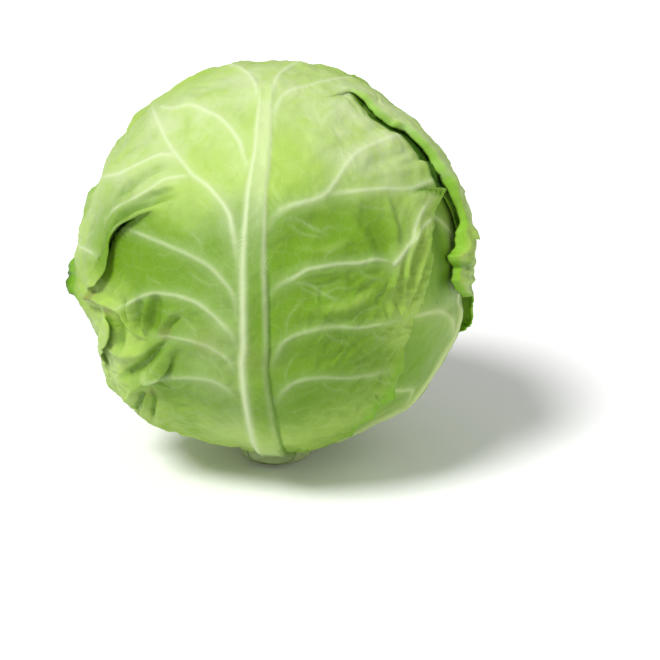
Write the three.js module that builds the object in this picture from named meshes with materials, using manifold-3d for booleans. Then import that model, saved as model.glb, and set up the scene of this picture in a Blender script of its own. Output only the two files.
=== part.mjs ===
// A head of white cabbage that stands upright on its cut stem. A dense heart of packed leaves is
// wrapped in five loose leaves, each a thin blade bent round the head, with a wide midrib that grows
// from the stem and side veins that stand out of its outer face.
//
// Frame: millimetres, +Z up, origin at the middle of the stem's cut face. The widest leaf faces -Y.
//
// Each leaf is drawn on a flat sheet of its own, x to its right and y towards its tip, in millimetres
// along the head's surface from the leaf's middle. The sheet is then bent round the head.
import * as THREE from "three";
import { mergeVertices } from "three/addons/utils/BufferGeometryUtils.js";
import Module from "manifold-3d";

const wasm = await Module();
wasm.setup();

// Driving sizes of the head
const HEAD_RADIUS = 90;
const HEART_RADIUS = 81.6;
const HEAD_CENTRE = new THREE.Vector3(0, 0, 92);
const HEART_GAP = 0.5;

// Driving sizes of a leaf
const BLADE = 1.2;
const RIB_FOOT = 0.3;
const LEAF_STEP = 1.75;
const OVERLAP_EDGE = 6;
const OVERLAP_EASE = 16;
const LEAF_TILT = 18;
const FRILL_WIDTH = 20;

// Driving sizes of midrib and veins, from foot to tip
const MIDRIB_HALF_WIDTH = [10.5, 3.6];
const MIDRIB_RISE = [3.6, 1.0];
const MIDRIB_CREST = 0.62;
const VEIN_HALF_WIDTH = [2.4, 1.3];
const VEIN_RISE = [1.2, 0.5];
const SWELL_RISE = [1.3, 0.8];
const SWELL_WIDTH = 11;
const RIDGE_SINK = 0.1;

// Driving sizes of the stem
const STEM_RADIUS = 16.5;
const STEM_CHAMFER = 1.2;
const STEM_SIDES = 24;
const STEM_DEPTH_IN_HEART = 14;
const STEM_CLEARANCE = 0.5;

// Fineness of the meshes
const FACET_DETAIL = 7;
const MARGIN_STEPS = 44;
const RIB_STEP = 10;
const MESH_TOLERANCE = 0.04;

const smooth = THREE.MathUtils.smoothstep;
const lerp = THREE.MathUtils.lerp;

// A closed mesh of points and triangles, as a solid.
function solidFrom(points, triangles) {
  return new wasm.Manifold(
    new wasm.Mesh({
      numProp: 3,
      vertProperties: new Float32Array(points.flatMap((p) => [p.x, p.y, p.z])),
      triVerts: new Uint32Array(triangles.flat()),
    }),
  );
}

// A three.js geometry with its double points joined.
function joined(geometry) {
  const bare = geometry.clone();
  bare.deleteAttribute("normal");
  bare.deleteAttribute("uv");
  return mergeVertices(bare, 1e-4);
}

// A three.js geometry as a solid.
function solidOf(geometry) {
  const { attributes, index } = joined(geometry);
  return new wasm.Manifold(
    new wasm.Mesh({
      numProp: 3,
      vertProperties: new Float32Array(attributes.position.array),
      triVerts: new Uint32Array(index.array),
    }),
  );
}

// A solid as a named three.js mesh.
function meshOf(name, solid, material) {
  const made = solid.getMesh();
  const geometry = new THREE.BufferGeometry();
  geometry.setAttribute("position", new THREE.BufferAttribute(made.vertProperties, 3));
  geometry.setIndex(new THREE.BufferAttribute(made.triVerts, 1));
  geometry.computeVertexNormals();
  const mesh = new THREE.Mesh(geometry, material);
  mesh.name = name;
  return mesh;
}

// One set of directions and facets is shared by the heart and all leaves. Layers whose radii are in
// order along every direction then never cross.
const globe = joined(new THREE.IcosahedronGeometry(1, FACET_DETAIL));
const directions = Array.from({ length: globe.attributes.position.count }, (_, i) =>
  new THREE.Vector3().fromBufferAttribute(globe.attributes.position, i).normalize(),
);
const facets = Array.from({ length: globe.index.count / 3 }, (_, i) => [
  globe.index.getX(3 * i),
  globe.index.getX(3 * i + 1),
  globe.index.getX(3 * i + 2),
]);

// A point along a direction, at a distance from the head's middle.
function headPoint(direction, radius) {
  return direction.clone().multiplyScalar(radius).add(HEAD_CENTRE);
}

// A ball with a radius of its own along each shared direction.
function ballOf(radii) {
  return solidFrom(directions.map((d, i) => headPoint(d, radii[i])), facets);
}

// The distance at which a faceted ball is met along a direction.
function facetDistance(radii, direction) {
  const ray = new THREE.Ray(new THREE.Vector3(), direction);
  const hit = new THREE.Vector3();
  for (const facet of facets) {
    if (directions[facet[0]].dot(direction) > 0.9) {
      const corners = facet.map((i) => directions[i].clone().multiplyScalar(radii[i]));
      if (ray.intersectTriangle(...corners, false, hit)) {
        return hit.length();
      }
    }
  }
  throw new Error("no facet lies along the direction");
}

// The heart isn't a true ball: its sides are a little flattened where leaves pressed on it.
function heartRadius(direction) {
  const around = Math.atan2(direction.x, -direction.y);
  const level = Math.max(0, 1 - direction.z * direction.z);
  const pressed = 0.008 * Math.cos(3 * around + 0.6) + 0.006 * Math.cos(5 * around - 1.1);
  return HEART_RADIUS * (1 + level * pressed);
}

// Smooth value at an angle of a closed row of [degrees, value] pairs.
function roundTheRow(pairs, degrees) {
  const turn = (((degrees - pairs[0][0]) % 360) + 360) % 360;
  for (let i = 0; i < pairs.length; i++) {
    const next = (i + 1) % pairs.length;
    const from = pairs[i][0] - pairs[0][0];
    const to = next === 0 ? 360 : pairs[next][0] - pairs[0][0];
    if (turn <= to) {
      return lerp(pairs[i][1], pairs[next][1], smooth(turn, from, to));
    }
  }
  return pairs[0][1];
}

// Distance across a path and share of the way along it. The distance is positive to its left.
function acrossPath(path, x, y) {
  let best = { distance: Infinity, across: 0, along: 0 };
  for (let i = 0; i + 1 < path.length; i++) {
    const [ax, ay] = path[i];
    const dx = path[i + 1][0] - ax;
    const dy = path[i + 1][1] - ay;
    const share = ((x - ax) * dx + (y - ay) * dy) / (dx * dx + dy * dy);
    const t = THREE.MathUtils.clamp(share, 0, 1);
    const distance = Math.hypot(x - ax - t * dx, y - ay - t * dy);
    if (distance < best.distance) {
      const side = dx * (y - ay) - dy * (x - ax) >= 0 ? 1 : -1;
      best = { distance, across: side * distance, along: (i + t) / (path.length - 1) };
    }
  }
  return best;
}

// A smooth path through a few points, with a point about every RIB_STEP.
function finePath(points) {
  const curve = new THREE.CatmullRomCurve3(points.map(([x, y]) => new THREE.Vector3(x, y, 0)));
  const steps = Math.max(2, Math.round(curve.getLength() / RIB_STEP));
  return curve.getSpacedPoints(steps).map((p) => [p.x, p.y]);
}

// The stem's height inside the heart, and the round socket that keeps heart and leaves clear of it.
const stemTop = HEAD_CENTRE.z - HEART_RADIUS + STEM_DEPTH_IN_HEART;
const stemSocket = solidOf(
  new THREE.CylinderGeometry(
    STEM_RADIUS + STEM_CLEARANCE,
    STEM_RADIUS + STEM_CLEARANCE,
    stemTop + STEM_CLEARANCE,
    STEM_SIDES,
  )
    .rotateX(Math.PI / 2)
    .translate(0, 0, (stemTop + STEM_CLEARANCE) / 2),
);

class Leaf {
  constructor({ azimuth, roll, ...form }) {
    Object.assign(this, { pleats: [], bulges: [] }, form);
    const turn = THREE.MathUtils.degToRad(azimuth);
    const tilt = THREE.MathUtils.degToRad(LEAF_TILT);
    this.middle = new THREE.Vector3(
      Math.sin(turn) * Math.cos(tilt),
      -Math.cos(turn) * Math.cos(tilt),
      Math.sin(tilt),
    );
    const right = new THREE.Vector3(Math.cos(turn), Math.sin(turn), 0);
    this.right = right.applyAxisAngle(this.middle, THREE.MathUtils.degToRad(roll));
    this.up = new THREE.Vector3().crossVectors(this.middle, this.right);
    this.under = [];
    this.over = [];
  }

  // The direction from the head's middle to a place on the leaf's flat sheet.
  direction(x, y) {
    const reach = Math.hypot(x, y);
    if (reach < 1e-9) {
      return this.middle.clone();
    }
    const angle = reach / HEAD_RADIUS;
    return this.middle
      .clone()
      .multiplyScalar(Math.cos(angle))
      .addScaledVector(this.right, (Math.sin(angle) * x) / reach)
      .addScaledVector(this.up, (Math.sin(angle) * y) / reach);
  }

  // The place on the flat sheet under a direction.
  sheetPlace(direction) {
    const angle = Math.acos(THREE.MathUtils.clamp(direction.dot(this.middle), -1, 1));
    const scale = angle < 1e-6 ? 1 : angle / Math.sin(angle);
    return [
      HEAD_RADIUS * scale * direction.dot(this.right),
      HEAD_RADIUS * scale * direction.dot(this.up),
    ];
  }

  // How far the leaf reaches from its middle towards an angle.
  reach(x, y) {
    return roundTheRow(this.outline, THREE.MathUtils.radToDeg(Math.atan2(y, x)));
  }

  // 1 where the leaf lies and just outside it, easing to 0 further out.
  cover(direction) {
    const [x, y] = this.sheetPlace(direction);
    const outside = Math.hypot(x, y) - this.reach(x, y);
    return 1 - smooth(outside, OVERLAP_EDGE, OVERLAP_EDGE + OVERLAP_EASE);
  }

  // 0 where an outer leaf lies on this one, and 1 where it shows.
  bare(direction) {
    return this.over.reduce((left, leaf) => left * (1 - leaf.cover(direction)), 1);
  }

  // Radius of the smooth surface that the leaf lies on.
  bed(direction) {
    const layers = this.under.reduce((sum, leaf) => sum + leaf.cover(direction), 0);
    return heartRadius(direction) + HEART_GAP + LEAF_STEP * layers;
  }

  // How far folds and the frilled margin lift the whole blade off its bed.
  lift(x, y) {
    const reach = this.reach(x, y);
    const inside = reach - Math.hypot(x, y);
    const angle = Math.atan2(y, x);
    const waves = 0.55 + 0.45 * Math.sin(this.frillWaves * angle + 1.3 * Math.sin(2 * angle));
    const nearStem = smooth(y, -130, -85);
    let height = this.frill * waves * nearStem * (1 - smooth(inside, 0, FRILL_WIDTH));
    for (const { at, height: rise, spread } of this.bulges) {
      height += rise * (1 - smooth(Math.hypot(x - at[0], y - at[1]), 0, spread));
    }
    for (const pleat of this.pleats) {
      const { across, along, distance } = acrossPath(pleat.path, x, y);
      const grown = smooth(along, 0, 0.3) * (1 - smooth(distance, pleat.fade, 2 * pleat.fade));
      height += pleat.lift * grown * smooth(across, -2, 4);
    }
    return height;
  }

  // How far the outer face swells along the veins.
  swell(x, y) {
    let height = 0;
    for (const vein of this.veins) {
      const { distance, along } = acrossPath(vein, x, y);
      const beside = 1 - smooth(distance, 0, SWELL_WIDTH);
      height = Math.max(height, lerp(...SWELL_RISE, along) * beside);
    }
    return height;
  }

  // Radii of the blade's inner and outer face along the shared directions.
  faces() {
    const inner = directions.map((direction) => {
      const [x, y] = this.sheetPlace(direction);
      return this.bed(direction) + this.bare(direction) * this.lift(x, y);
    });
    const outer = directions.map((direction, i) => {
      const [x, y] = this.sheetPlace(direction);
      return inner[i] + BLADE + this.bare(direction) * this.swell(x, y);
    });
    return { inner, outer };
  }

  // The leaf's margin as places on the flat sheet.
  margin() {
    return Array.from({ length: MARGIN_STEPS }, (_, k) => {
      const angle = (2 * Math.PI * k) / MARGIN_STEPS;
      const reach = this.reach(Math.cos(angle), Math.sin(angle));
      return [reach * Math.cos(angle), reach * Math.sin(angle)];
    });
  }

  // All that lies within a closed line on the flat sheet, from the head's middle outwards.
  sector(line, within) {
    const rim = line.map(([x, y]) => headPoint(this.direction(x, y), 3 * HEAD_RADIUS));
    const top = headPoint(this.direction(...within), 20 * HEAD_RADIUS);
    const points = [...rim, headPoint(this.middle, 0), top];
    const [centre, far] = [line.length, line.length + 1];
    const triangles = rim.flatMap((_, k) => {
      const next = (k + 1) % line.length;
      return [
        [centre, next, k],
        [far, k, next],
      ];
    });
    return solidFrom(points, triangles);
  }

  // A ridge along a path: three-sided for a vein, flat-topped for the midrib.
  ridge({ inner, outer }, path, halfWidth, height, crest) {
    const fine = finePath(path);
    const corners = crest > 0 ? 4 : 3;
    const points = [];
    fine.forEach(([x, y], k) => {
      const before = fine[Math.max(0, k - 1)];
      const after = fine[Math.min(fine.length - 1, k + 1)];
      const length = Math.hypot(after[0] - before[0], after[1] - before[1]);
      const sideX = -(after[1] - before[1]) / length;
      const sideY = (after[0] - before[0]) / length;
      const along = k / (fine.length - 1);
      const half = halfWidth(along);
      const foot = (across) => {
        const direction = this.direction(x + sideX * across, y + sideY * across);
        points.push(headPoint(direction, facetDistance(inner, direction) + RIB_FOOT));
      };
      const top = (across) => {
        const direction = this.direction(x + sideX * across, y + sideY * across);
        const rise = this.bare(direction) * height(along);
        points.push(headPoint(direction, facetDistance(outer, direction) + rise - RIDGE_SINK));
      };
      foot(half);
      if (crest > 0) {
        top(crest * half);
        top(-crest * half);
      } else {
        top(0);
      }
      foot(-half);
    });
    const triangles = [];
    for (let k = 0; k + 1 < fine.length; k++) {
      for (let c = 0; c < corners; c++) {
        const next = (c + 1) % corners;
        const [a, b] = [k * corners + c, k * corners + next];
        triangles.push([a, b, a + corners], [b, b + corners, a + corners]);
      }
    }
    const last = (fine.length - 1) * corners;
    for (let c = 1; c + 1 < corners; c++) {
      triangles.push([0, c + 1, c], [last, last + c, last + c + 1]);
    }
    return solidFrom(points, triangles);
  }

  // The whole leaf as one solid.
  solid() {
    const faces = this.faces();
    let blade = ballOf(faces.outer).subtract(ballOf(faces.inner));
    blade = blade.intersect(this.sector(this.margin(), [0, 0]));
    if (this.tear) {
      blade = blade.subtract(this.sector(this.tear.line, this.tear.within));
    }
    const midribHalf = (along) => lerp(...MIDRIB_HALF_WIDTH, smooth(along, 0, 1));
    const midribRise = (along) => lerp(...MIDRIB_RISE, Math.sqrt(along));
    const veinHalf = (along) => lerp(...VEIN_HALF_WIDTH, along);
    const veinRise = (along) => lerp(...VEIN_RISE, along);
    const ridges = [
      this.ridge(faces, this.midrib, midribHalf, midribRise, MIDRIB_CREST),
      ...this.veins.map((vein) => this.ridge(faces, vein, veinHalf, veinRise, 0)),
    ];
    return wasm.Manifold.union([blade, ...ridges]).subtract(stemSocket).simplify(MESH_TOLERANCE);
  }
}

// Side veins of a plain leaf. Each leaves the midrib steeply and bends out towards the margin.
function sideVeins(outline, side, ends) {
  return ends.map((end, i) => {
    const share = ends.length > 1 ? i / (ends.length - 1) : 0;
    const angle = THREE.MathUtils.degToRad(side > 0 ? end : 180 - end);
    const reach = 0.86 * roundTheRow(outline, THREE.MathUtils.radToDeg(angle));
    const tip = [reach * Math.cos(angle), reach * Math.sin(angle)];
    const root = [0, lerp(-100, 62, share)];
    const bend = [0.3 * tip[0], lerp(root[1], tip[1], 0.66) + 6];
    return [root, bend, tip];
  });
}

// A wrapper leaf with regular side veins and no great folds.
function plainLeaf({ name, azimuth, roll, outline, rightEnds, leftEnds, frill, frillWaves }) {
  return new Leaf({
    name,
    azimuth,
    roll,
    outline,
    midrib: [[0, -160], [1, -90], [0, 0], [-1, 98]],
    veins: [...sideVeins(outline, 1, rightEnds), ...sideVeins(outline, -1, leftEnds)],
    frill,
    frillWaves,
  });
}

// The leaves in the order they grew, from the heart outwards.
const crownLeaf = plainLeaf({
  name: "crown_leaf",
  azimuth: 128,
  roll: 4,
  outline: [[-90, 165], [-60, 128], [-20, 118], [20, 128], [60, 142], [90, 150], [120, 146], [160, 128],
    [200, 118], [240, 128]],
  rightEnds: [48, 74],
  leftEnds: [48, 74],
  frill: 2.5,
  frillWaves: 9,
});
const rightLeaf = plainLeaf({
  name: "right_leaf",
  azimuth: 78,
  roll: -5,
  outline: [[-90, 165], [-60, 132], [-25, 126], [10, 134], [50, 142], [90, 148], [125, 138], [165, 128],
    [205, 124], [240, 134]],
  rightEnds: [-34, 2, 40],
  leftEnds: [-34, 2, 40],
  frill: 3,
  frillWaves: 11,
});
const leftLeaf = plainLeaf({
  name: "left_leaf",
  azimuth: -98,
  roll: 6,
  outline: [[-90, 165], [-58, 134], [-20, 128], [20, 136], [55, 140], [90, 150], [130, 140], [170, 132],
    [205, 126], [240, 136]],
  rightEnds: [-34, 2, 40],
  leftEnds: [-34, 2, 40],
  frill: 3,
  frillWaves: 10,
});
const backLeaf = plainLeaf({
  name: "back_leaf",
  azimuth: 172,
  roll: -4,
  outline: [[-90, 166], [-60, 142], [-28, 136], [5, 142], [40, 146], [75, 138], [105, 134], [140, 142],
    [175, 146], [208, 138], [240, 144]],
  rightEnds: [-40, -14, 14, 44],
  leftEnds: [-40, -14, 14, 44],
  frill: 6,
  frillWaves: 9,
});

// The widest leaf, with its veins and folds where they show on the front of the head. Its right margin
// is laid over itself in a long roll, and its lower right edge stops short of the side.
const frontLeaf = new Leaf({
  name: "front_leaf",
  azimuth: 0,
  roll: 0,
  outline: [[-90, 165], [-80, 150], [-66, 120], [-50, 98], [-34, 84], [-21, 84], [-9, 122], [6, 142],
    [30, 150], [60, 158], [90, 164], [120, 160], [150, 154], [180, 148], [210, 148], [240, 150],
    [255, 158]],
  midrib: [[0, -160], [-6, -110], [-12, -52], [-10, 0], [-7, 50], [-3, 96]],
  veins: [
    [[-8, 92], [-17, 122], [-28, 142]],
    [[-13, 44], [-19, 66], [-40, 90], [-74, 96]],
    [[-15, -8], [-21, 21], [-42, 48], [-62, 76], [-76, 98]],
    [[-40, 46], [-56, 46], [-82, 33]],
    [[-16, -34], [-29, -4], [-52, 9], [-76, 17]],
    [[-18, -62], [-34, -24], [-62, -14], [-86, -22]],
    [[-18, -90], [-36, -42], [-64, -38], [-88, -24]],
    [[-1, 92], [12, 118], [34, 136]],
    [[1, 78], [12, 94], [40, 104], [74, 98]],
    [[-4, 16], [22, 31], [42, 60], [72, 74]],
    [[14, 28], [40, 36], [74, 42]],
    [[-6, -34], [20, -4], [58, 0], [72, 22]],
    [[-6, -74], [20, -34], [52, -34]],
  ],
  pleats: [
    {
      path: [[29, 88], [56, 86], [72, 76], [91, 51], [98, 25], [96, 0], [94, -24]],
      lift: 3.4,
      fade: 28,
    },
    {
      path: [[-101, -13], [-86, 5], [-79, 19], [-67, 24], [-50, 26]],
      lift: 2.8,
      fade: 16,
    },
  ],
  bulges: [
    { at: [-84, 92], height: 2.6, spread: 60 },
    { at: [-120, -10], height: 3.2, spread: 60 },
  ],
  tear: {
    line: [[89, 40], [81, 30], [84, 16], [82, 0], [77, -16], [70, -34], [84, -46], [112, -22], [98, -15],
      [93, -2], [97, 12], [98, 26]],
    within: [88, -4],
  },
  frill: 4,
  frillWaves: 12,
});

const leaves = [crownLeaf, rightLeaf, leftLeaf, backLeaf, frontLeaf];
leaves.forEach((leaf, k) => {
  leaf.under = leaves.slice(0, k);
  leaf.over = leaves.slice(k + 1);
});

// The stem stub, cut flat across its foot. Its top stands in the heart.
function stemSolid() {
  const profile = [
    [0, 0],
    [STEM_RADIUS - STEM_CHAMFER, 0],
    [STEM_RADIUS, STEM_CHAMFER],
    [STEM_RADIUS, stemTop - 6],
    [STEM_RADIUS - 5, stemTop],
    [0, stemTop],
  ].map(([r, z]) => new THREE.Vector2(r, z));
  return solidOf(new THREE.LatheGeometry(profile, STEM_SIDES).rotateX(Math.PI / 2));
}

// The dense heart, with the socket that the stem grows up into.
function heartSolid() {
  return ballOf(directions.map(heartRadius)).subtract(stemSocket);
}

// Colours from the outer leaves to the pale heart
const leafColours = {
  crown_leaf: 0xc3dc8c,
  right_leaf: 0xa9cf6a,
  left_leaf: 0xa9cf6a,
  back_leaf: 0x9fc964,
  front_leaf: 0x9cc662,
};
const waxyLeaf = (colour) =>
  new THREE.MeshStandardMaterial({ color: colour, roughness: 0.5, metalness: 0 });

const head = new THREE.Group();
head.add(
  meshOf(
    "stem",
    stemSolid(),
    new THREE.MeshStandardMaterial({ color: 0xdfe3c0, roughness: 0.75, metalness: 0 }),
  ),
);
head.add(meshOf("heart", heartSolid(), waxyLeaf(0xd5e6a8)));
for (const leaf of leaves) {
  head.add(meshOf(leaf.name, leaf.solid(), waxyLeaf(leafColours[leaf.name])));
}

export default head;
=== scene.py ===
"""A head of white cabbage that stands on its cut stem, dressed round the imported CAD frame.

Every wrapper leaf is drawn on a flat sheet of its own, x to its right and y towards its tip, in
millimetres along the head's surface from the leaf's middle. The sheet is then bent round the head.
Places on the front leaf are given as they are seen from in front, in millimetres to the right of the
head's middle and above it.
"""
import logging
import math
from collections.abc import Callable
from dataclasses import dataclass, field
from enum import Enum

import bmesh
import bpy
import numpy as np
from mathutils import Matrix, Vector, noise


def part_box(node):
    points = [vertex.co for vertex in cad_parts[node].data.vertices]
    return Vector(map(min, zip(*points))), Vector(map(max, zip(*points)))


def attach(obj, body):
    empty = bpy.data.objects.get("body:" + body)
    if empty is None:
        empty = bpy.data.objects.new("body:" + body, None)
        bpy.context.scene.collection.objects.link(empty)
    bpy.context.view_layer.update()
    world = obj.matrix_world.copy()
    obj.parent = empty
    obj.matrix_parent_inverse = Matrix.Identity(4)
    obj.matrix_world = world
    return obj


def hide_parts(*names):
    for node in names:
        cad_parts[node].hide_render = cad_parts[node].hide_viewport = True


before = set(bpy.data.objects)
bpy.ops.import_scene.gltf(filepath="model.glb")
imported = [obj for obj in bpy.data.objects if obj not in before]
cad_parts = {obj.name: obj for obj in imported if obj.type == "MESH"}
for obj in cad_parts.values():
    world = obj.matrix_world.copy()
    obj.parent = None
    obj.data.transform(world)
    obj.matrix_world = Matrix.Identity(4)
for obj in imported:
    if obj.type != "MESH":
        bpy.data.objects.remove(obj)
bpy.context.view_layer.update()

MM = 0.001
HEAD_RADIUS = 90.0
EYE_DISTANCE = 825.0
ROOT = "root"
PAINT = "leaf_paint"
SHEET_UV = "sheet"
TONE_AND_SHADE = "leaf_tone_and_shade"

log = logging.getLogger("cabbage")

Point = tuple[float, float]


def smooth(value: np.ndarray | float, low: float, high: float) -> np.ndarray:
    """Ease from 0 at low to 1 at high.

    Args:
        value: What is eased.
        low: The value at which the result leaves 0.
        high: The value at which the result reaches 1.

    Returns:
        The eased share, of the same shape as the value.
    """
    t = np.clip((np.asarray(value, float) - low) / (high - low), 0.0, 1.0)
    return t * t * (3.0 - 2.0 * t)


def mix(a: np.ndarray | float, b: np.ndarray | float, share: np.ndarray | float) -> np.ndarray:
    """Return the blend of a and b, which is a at share 0 and b at share 1."""
    return a + (b - a) * share


def round_the_row(row: tuple[Point, ...], degrees: np.ndarray) -> np.ndarray:
    """Read a closed row of (degrees, value) pairs at any angle.

    Args:
        row: The pairs, in order of their angles, within one turn.
        degrees: The angles to read the row at.

    Returns:
        The eased value at each angle.
    """
    angles = np.array([a for a, _ in row] + [row[0][0] + 360.0])
    values = np.array([v for _, v in row] + [row[0][1]])
    turned = (degrees - angles[0]) % 360.0 + angles[0]
    at = np.clip(np.searchsorted(angles, turned, side="right") - 1, 0, len(row) - 1)
    share = (turned - angles[at]) / (angles[at + 1] - angles[at])
    return mix(values[at], values[at + 1], smooth(share, 0.0, 1.0))


def along_the_row(row: tuple[Point, ...], degrees: np.ndarray) -> np.ndarray:
    """Read an open row of (degrees, value) pairs, held level past its ends."""
    angles, values = zip(*sorted(row))
    return np.interp(degrees, angles, values)


def from_front(right: float, above: float) -> Point:
    """Turn a place as seen from in front into a place on the front leaf's sheet.

    At the right, fewer leaves lie beneath the front leaf, so it is nearer to the head's middle.
    """
    seen = math.hypot(right, above)
    if seen < 1e-9:
        return (0.0, 0.0)
    ray = math.atan(seen / EYE_DISTANCE)
    radius = HEAD_RADIUS - 6.0 * float(smooth(right, 20.0, 80.0))
    turned = math.asin(min(EYE_DISTANCE * math.sin(ray) / radius, 0.9995)) - ray
    return (right * HEAD_RADIUS * turned / seen, above * HEAD_RADIUS * turned / seen)


class View(Enum):
    """How the points of a line are given."""

    SHEET = "sheet"
    FRONT = "front"


@dataclass
class Line:
    """A smooth line through a few points of a leaf's sheet."""

    points: tuple[Point, ...]
    view: View = View.SHEET
    step: float = 3.0
    fine: np.ndarray = field(init=False)

    def __post_init__(self) -> None:
        """Fill in the points between those that are given."""
        given = self.points
        if self.view is View.FRONT:
            given = [from_front(*p) for p in given]
        ends = [np.array(p, float) for p in given]
        ends = [2 * ends[0] - ends[1], *ends, 2 * ends[-1] - ends[-2]]
        fine = []
        for a, b, c, d in zip(ends, ends[1:], ends[2:], ends[3:]):
            count = max(2, math.ceil(np.linalg.norm(c - b) / self.step))
            for t in np.arange(count) / count:
                bent = 2 * b + (c - a) * t + (2 * a - 5 * b + 4 * c - d) * t**2
                fine.append(0.5 * (bent + (3 * b - a - 3 * c + d) * t**3))
        self.fine = np.array([*fine, ends[-2]])

    def measure(
        self, x: np.ndarray, y: np.ndarray, reach: float
    ) -> tuple[np.ndarray, np.ndarray, np.ndarray, np.ndarray, np.ndarray]:
        """Measure places against the line.

        Args:
            x: The places' first sheet coordinate.
            y: Their second sheet coordinate.
            reach: How far from the line a place may lie to be measured, in millimetres.

        Returns:
            The indices of the places within reach, and for them the distance across, positive to the
            line's left, the share of the way along it, and the two parts of the unit vector to its left.
        """
        low, high = self.fine.min(0) - reach, self.fine.max(0) + reach
        near = np.flatnonzero((x > low[0]) & (x < high[0]) & (y > low[1]) & (y < high[1]))
        place = np.stack([x[near], y[near]], 1)[:, None, :]
        start = self.fine[:-1][None]
        run = self.fine[1:][None] - start
        lengths = np.linalg.norm(run[0], axis=1)
        share = np.clip(((place - start) * run).sum(2) / (run * run).sum(2), 0.0, 1.0)
        off = place - start - run * share[..., None]
        distance = np.linalg.norm(off, axis=2)
        best = distance.argmin(1)
        rows = np.arange(len(near))
        gone = np.concatenate([[0.0], np.cumsum(lengths)])
        along = (gone[best] + share[rows, best] * lengths[best]) / gone[-1]
        left = np.stack([-run[0, :, 1], run[0, :, 0]], 1) / lengths[:, None]
        across = np.sign((off[rows, best] * left[best]).sum(1) + 1e-12) * distance[rows, best]
        kept = np.abs(across) < reach
        corners = np.concatenate([left[:1], left[:-1] + left[1:], left[-1:]])
        part = share[rows, best][kept][:, None]
        side = mix(corners[best[kept]], corners[best[kept] + 1], part)
        side = side / np.linalg.norm(side, axis=1, keepdims=True)
        return near[kept], across[kept], along[kept], side[:, 0], side[:, 1]


@dataclass
class Vein:
    """A side vein: a pale ridge that the blade beside it rises towards like a tent."""

    line: Line
    half_width: tuple[float, float] = (1.05, 0.65)
    rise: tuple[float, float] = (0.5, 0.25)
    tent: float = 1.2
    tent_width: float = 9.0
    pale: float = 0.8
    open_start: bool = True


@dataclass
class Crease:
    """A soft ridge, or a furrow where its rise is below 0."""

    line: Line
    rise: float
    half_width: float
    sharp: bool = False
    shade: float = 0.0
    beside_tear: bool = False


@dataclass
class Fold:
    """A pleat. The blade on the left of its line laps over the blade on the right."""

    line: Line
    lap: float
    lift: float
    half_width: float
    fade: float
    grown: Point = (0.25, 0.85)
    shade: float = 0.5
    beside_tear: bool = False


@dataclass
class Spot:
    """A round patch on the sheet."""

    at: Point
    radius: float
    amount: float


@dataclass
class Blade:
    """The places of a leaf's grid while it is being shaped."""

    x: np.ndarray
    y: np.ndarray
    inside: np.ndarray
    height: np.ndarray
    thick: np.ndarray
    vein: np.ndarray
    # bloom_and_sheen: the pale wax coat, with a painted sheen on the lit top.
    bloom_and_sheen: np.ndarray
    margin: np.ndarray
    stain: np.ndarray
    # tone: darker green, partly the leaf's own uneven colour and partly painted shade in furrows, under folds and under
    # the lip, with painted light where it is lowered.
    tone: np.ndarray

    @classmethod
    def flat(cls, x: np.ndarray, y: np.ndarray, inside: np.ndarray) -> "Blade":
        """Return an unshaped blade over these places, which lie so far inside its margin."""
        empty = [np.zeros(len(x)) for _ in range(7)]
        return cls(x, y, inside, *empty)


class Head:
    """The round form that all leaves lie on."""

    def __init__(self) -> None:
        """Take the heart's place, the stem's size and the waist from the frame."""
        low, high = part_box("heart")
        self.heart_radius = 81.6
        self.centre = np.array([0.0, 0.0, high.z / MM - self.heart_radius])
        self.heart_gap = 0.5
        self.leaf_step = 1.75
        stem_low, stem_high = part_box("stem")
        self.stem_radius = (stem_high.x - stem_low.x) / 2 / MM
        self.stem_top = stem_high.z / MM
        self.stem_opening = math.asin((self.stem_radius + 0.9) / self.heart_radius)
        self.waist = low.z / MM

    def radius(self, direction: np.ndarray) -> np.ndarray:
        """Return the heart's radius along each direction."""
        around = np.arctan2(direction[:, 0], -direction[:, 1])
        level = 1 - direction[:, 2] ** 2
        pressed = 0.008 * np.cos(3 * around + 0.6) + 0.006 * np.cos(5 * around - 1.1)
        return self.heart_radius * (1 + level * pressed)

    def opened(self, direction: np.ndarray) -> np.ndarray:
        """Push directions away from the stem, so that leaf bases end round it.

        Args:
            direction: Unit vectors from the head's middle.

        Returns:
            Unit vectors that keep clear of the stem.
        """
        polar = np.arccos(np.clip(-direction[:, 2], -1.0, 1.0))
        opened = np.minimum(np.pi, (polar**4 + self.stem_opening**4) ** 0.25)
        level = np.maximum(1e-6, np.hypot(direction[:, 0], direction[:, 1]))
        side = np.sin(opened) / level
        return np.stack([direction[:, 0] * side, direction[:, 1] * side, -np.cos(opened)], 1)


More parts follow.
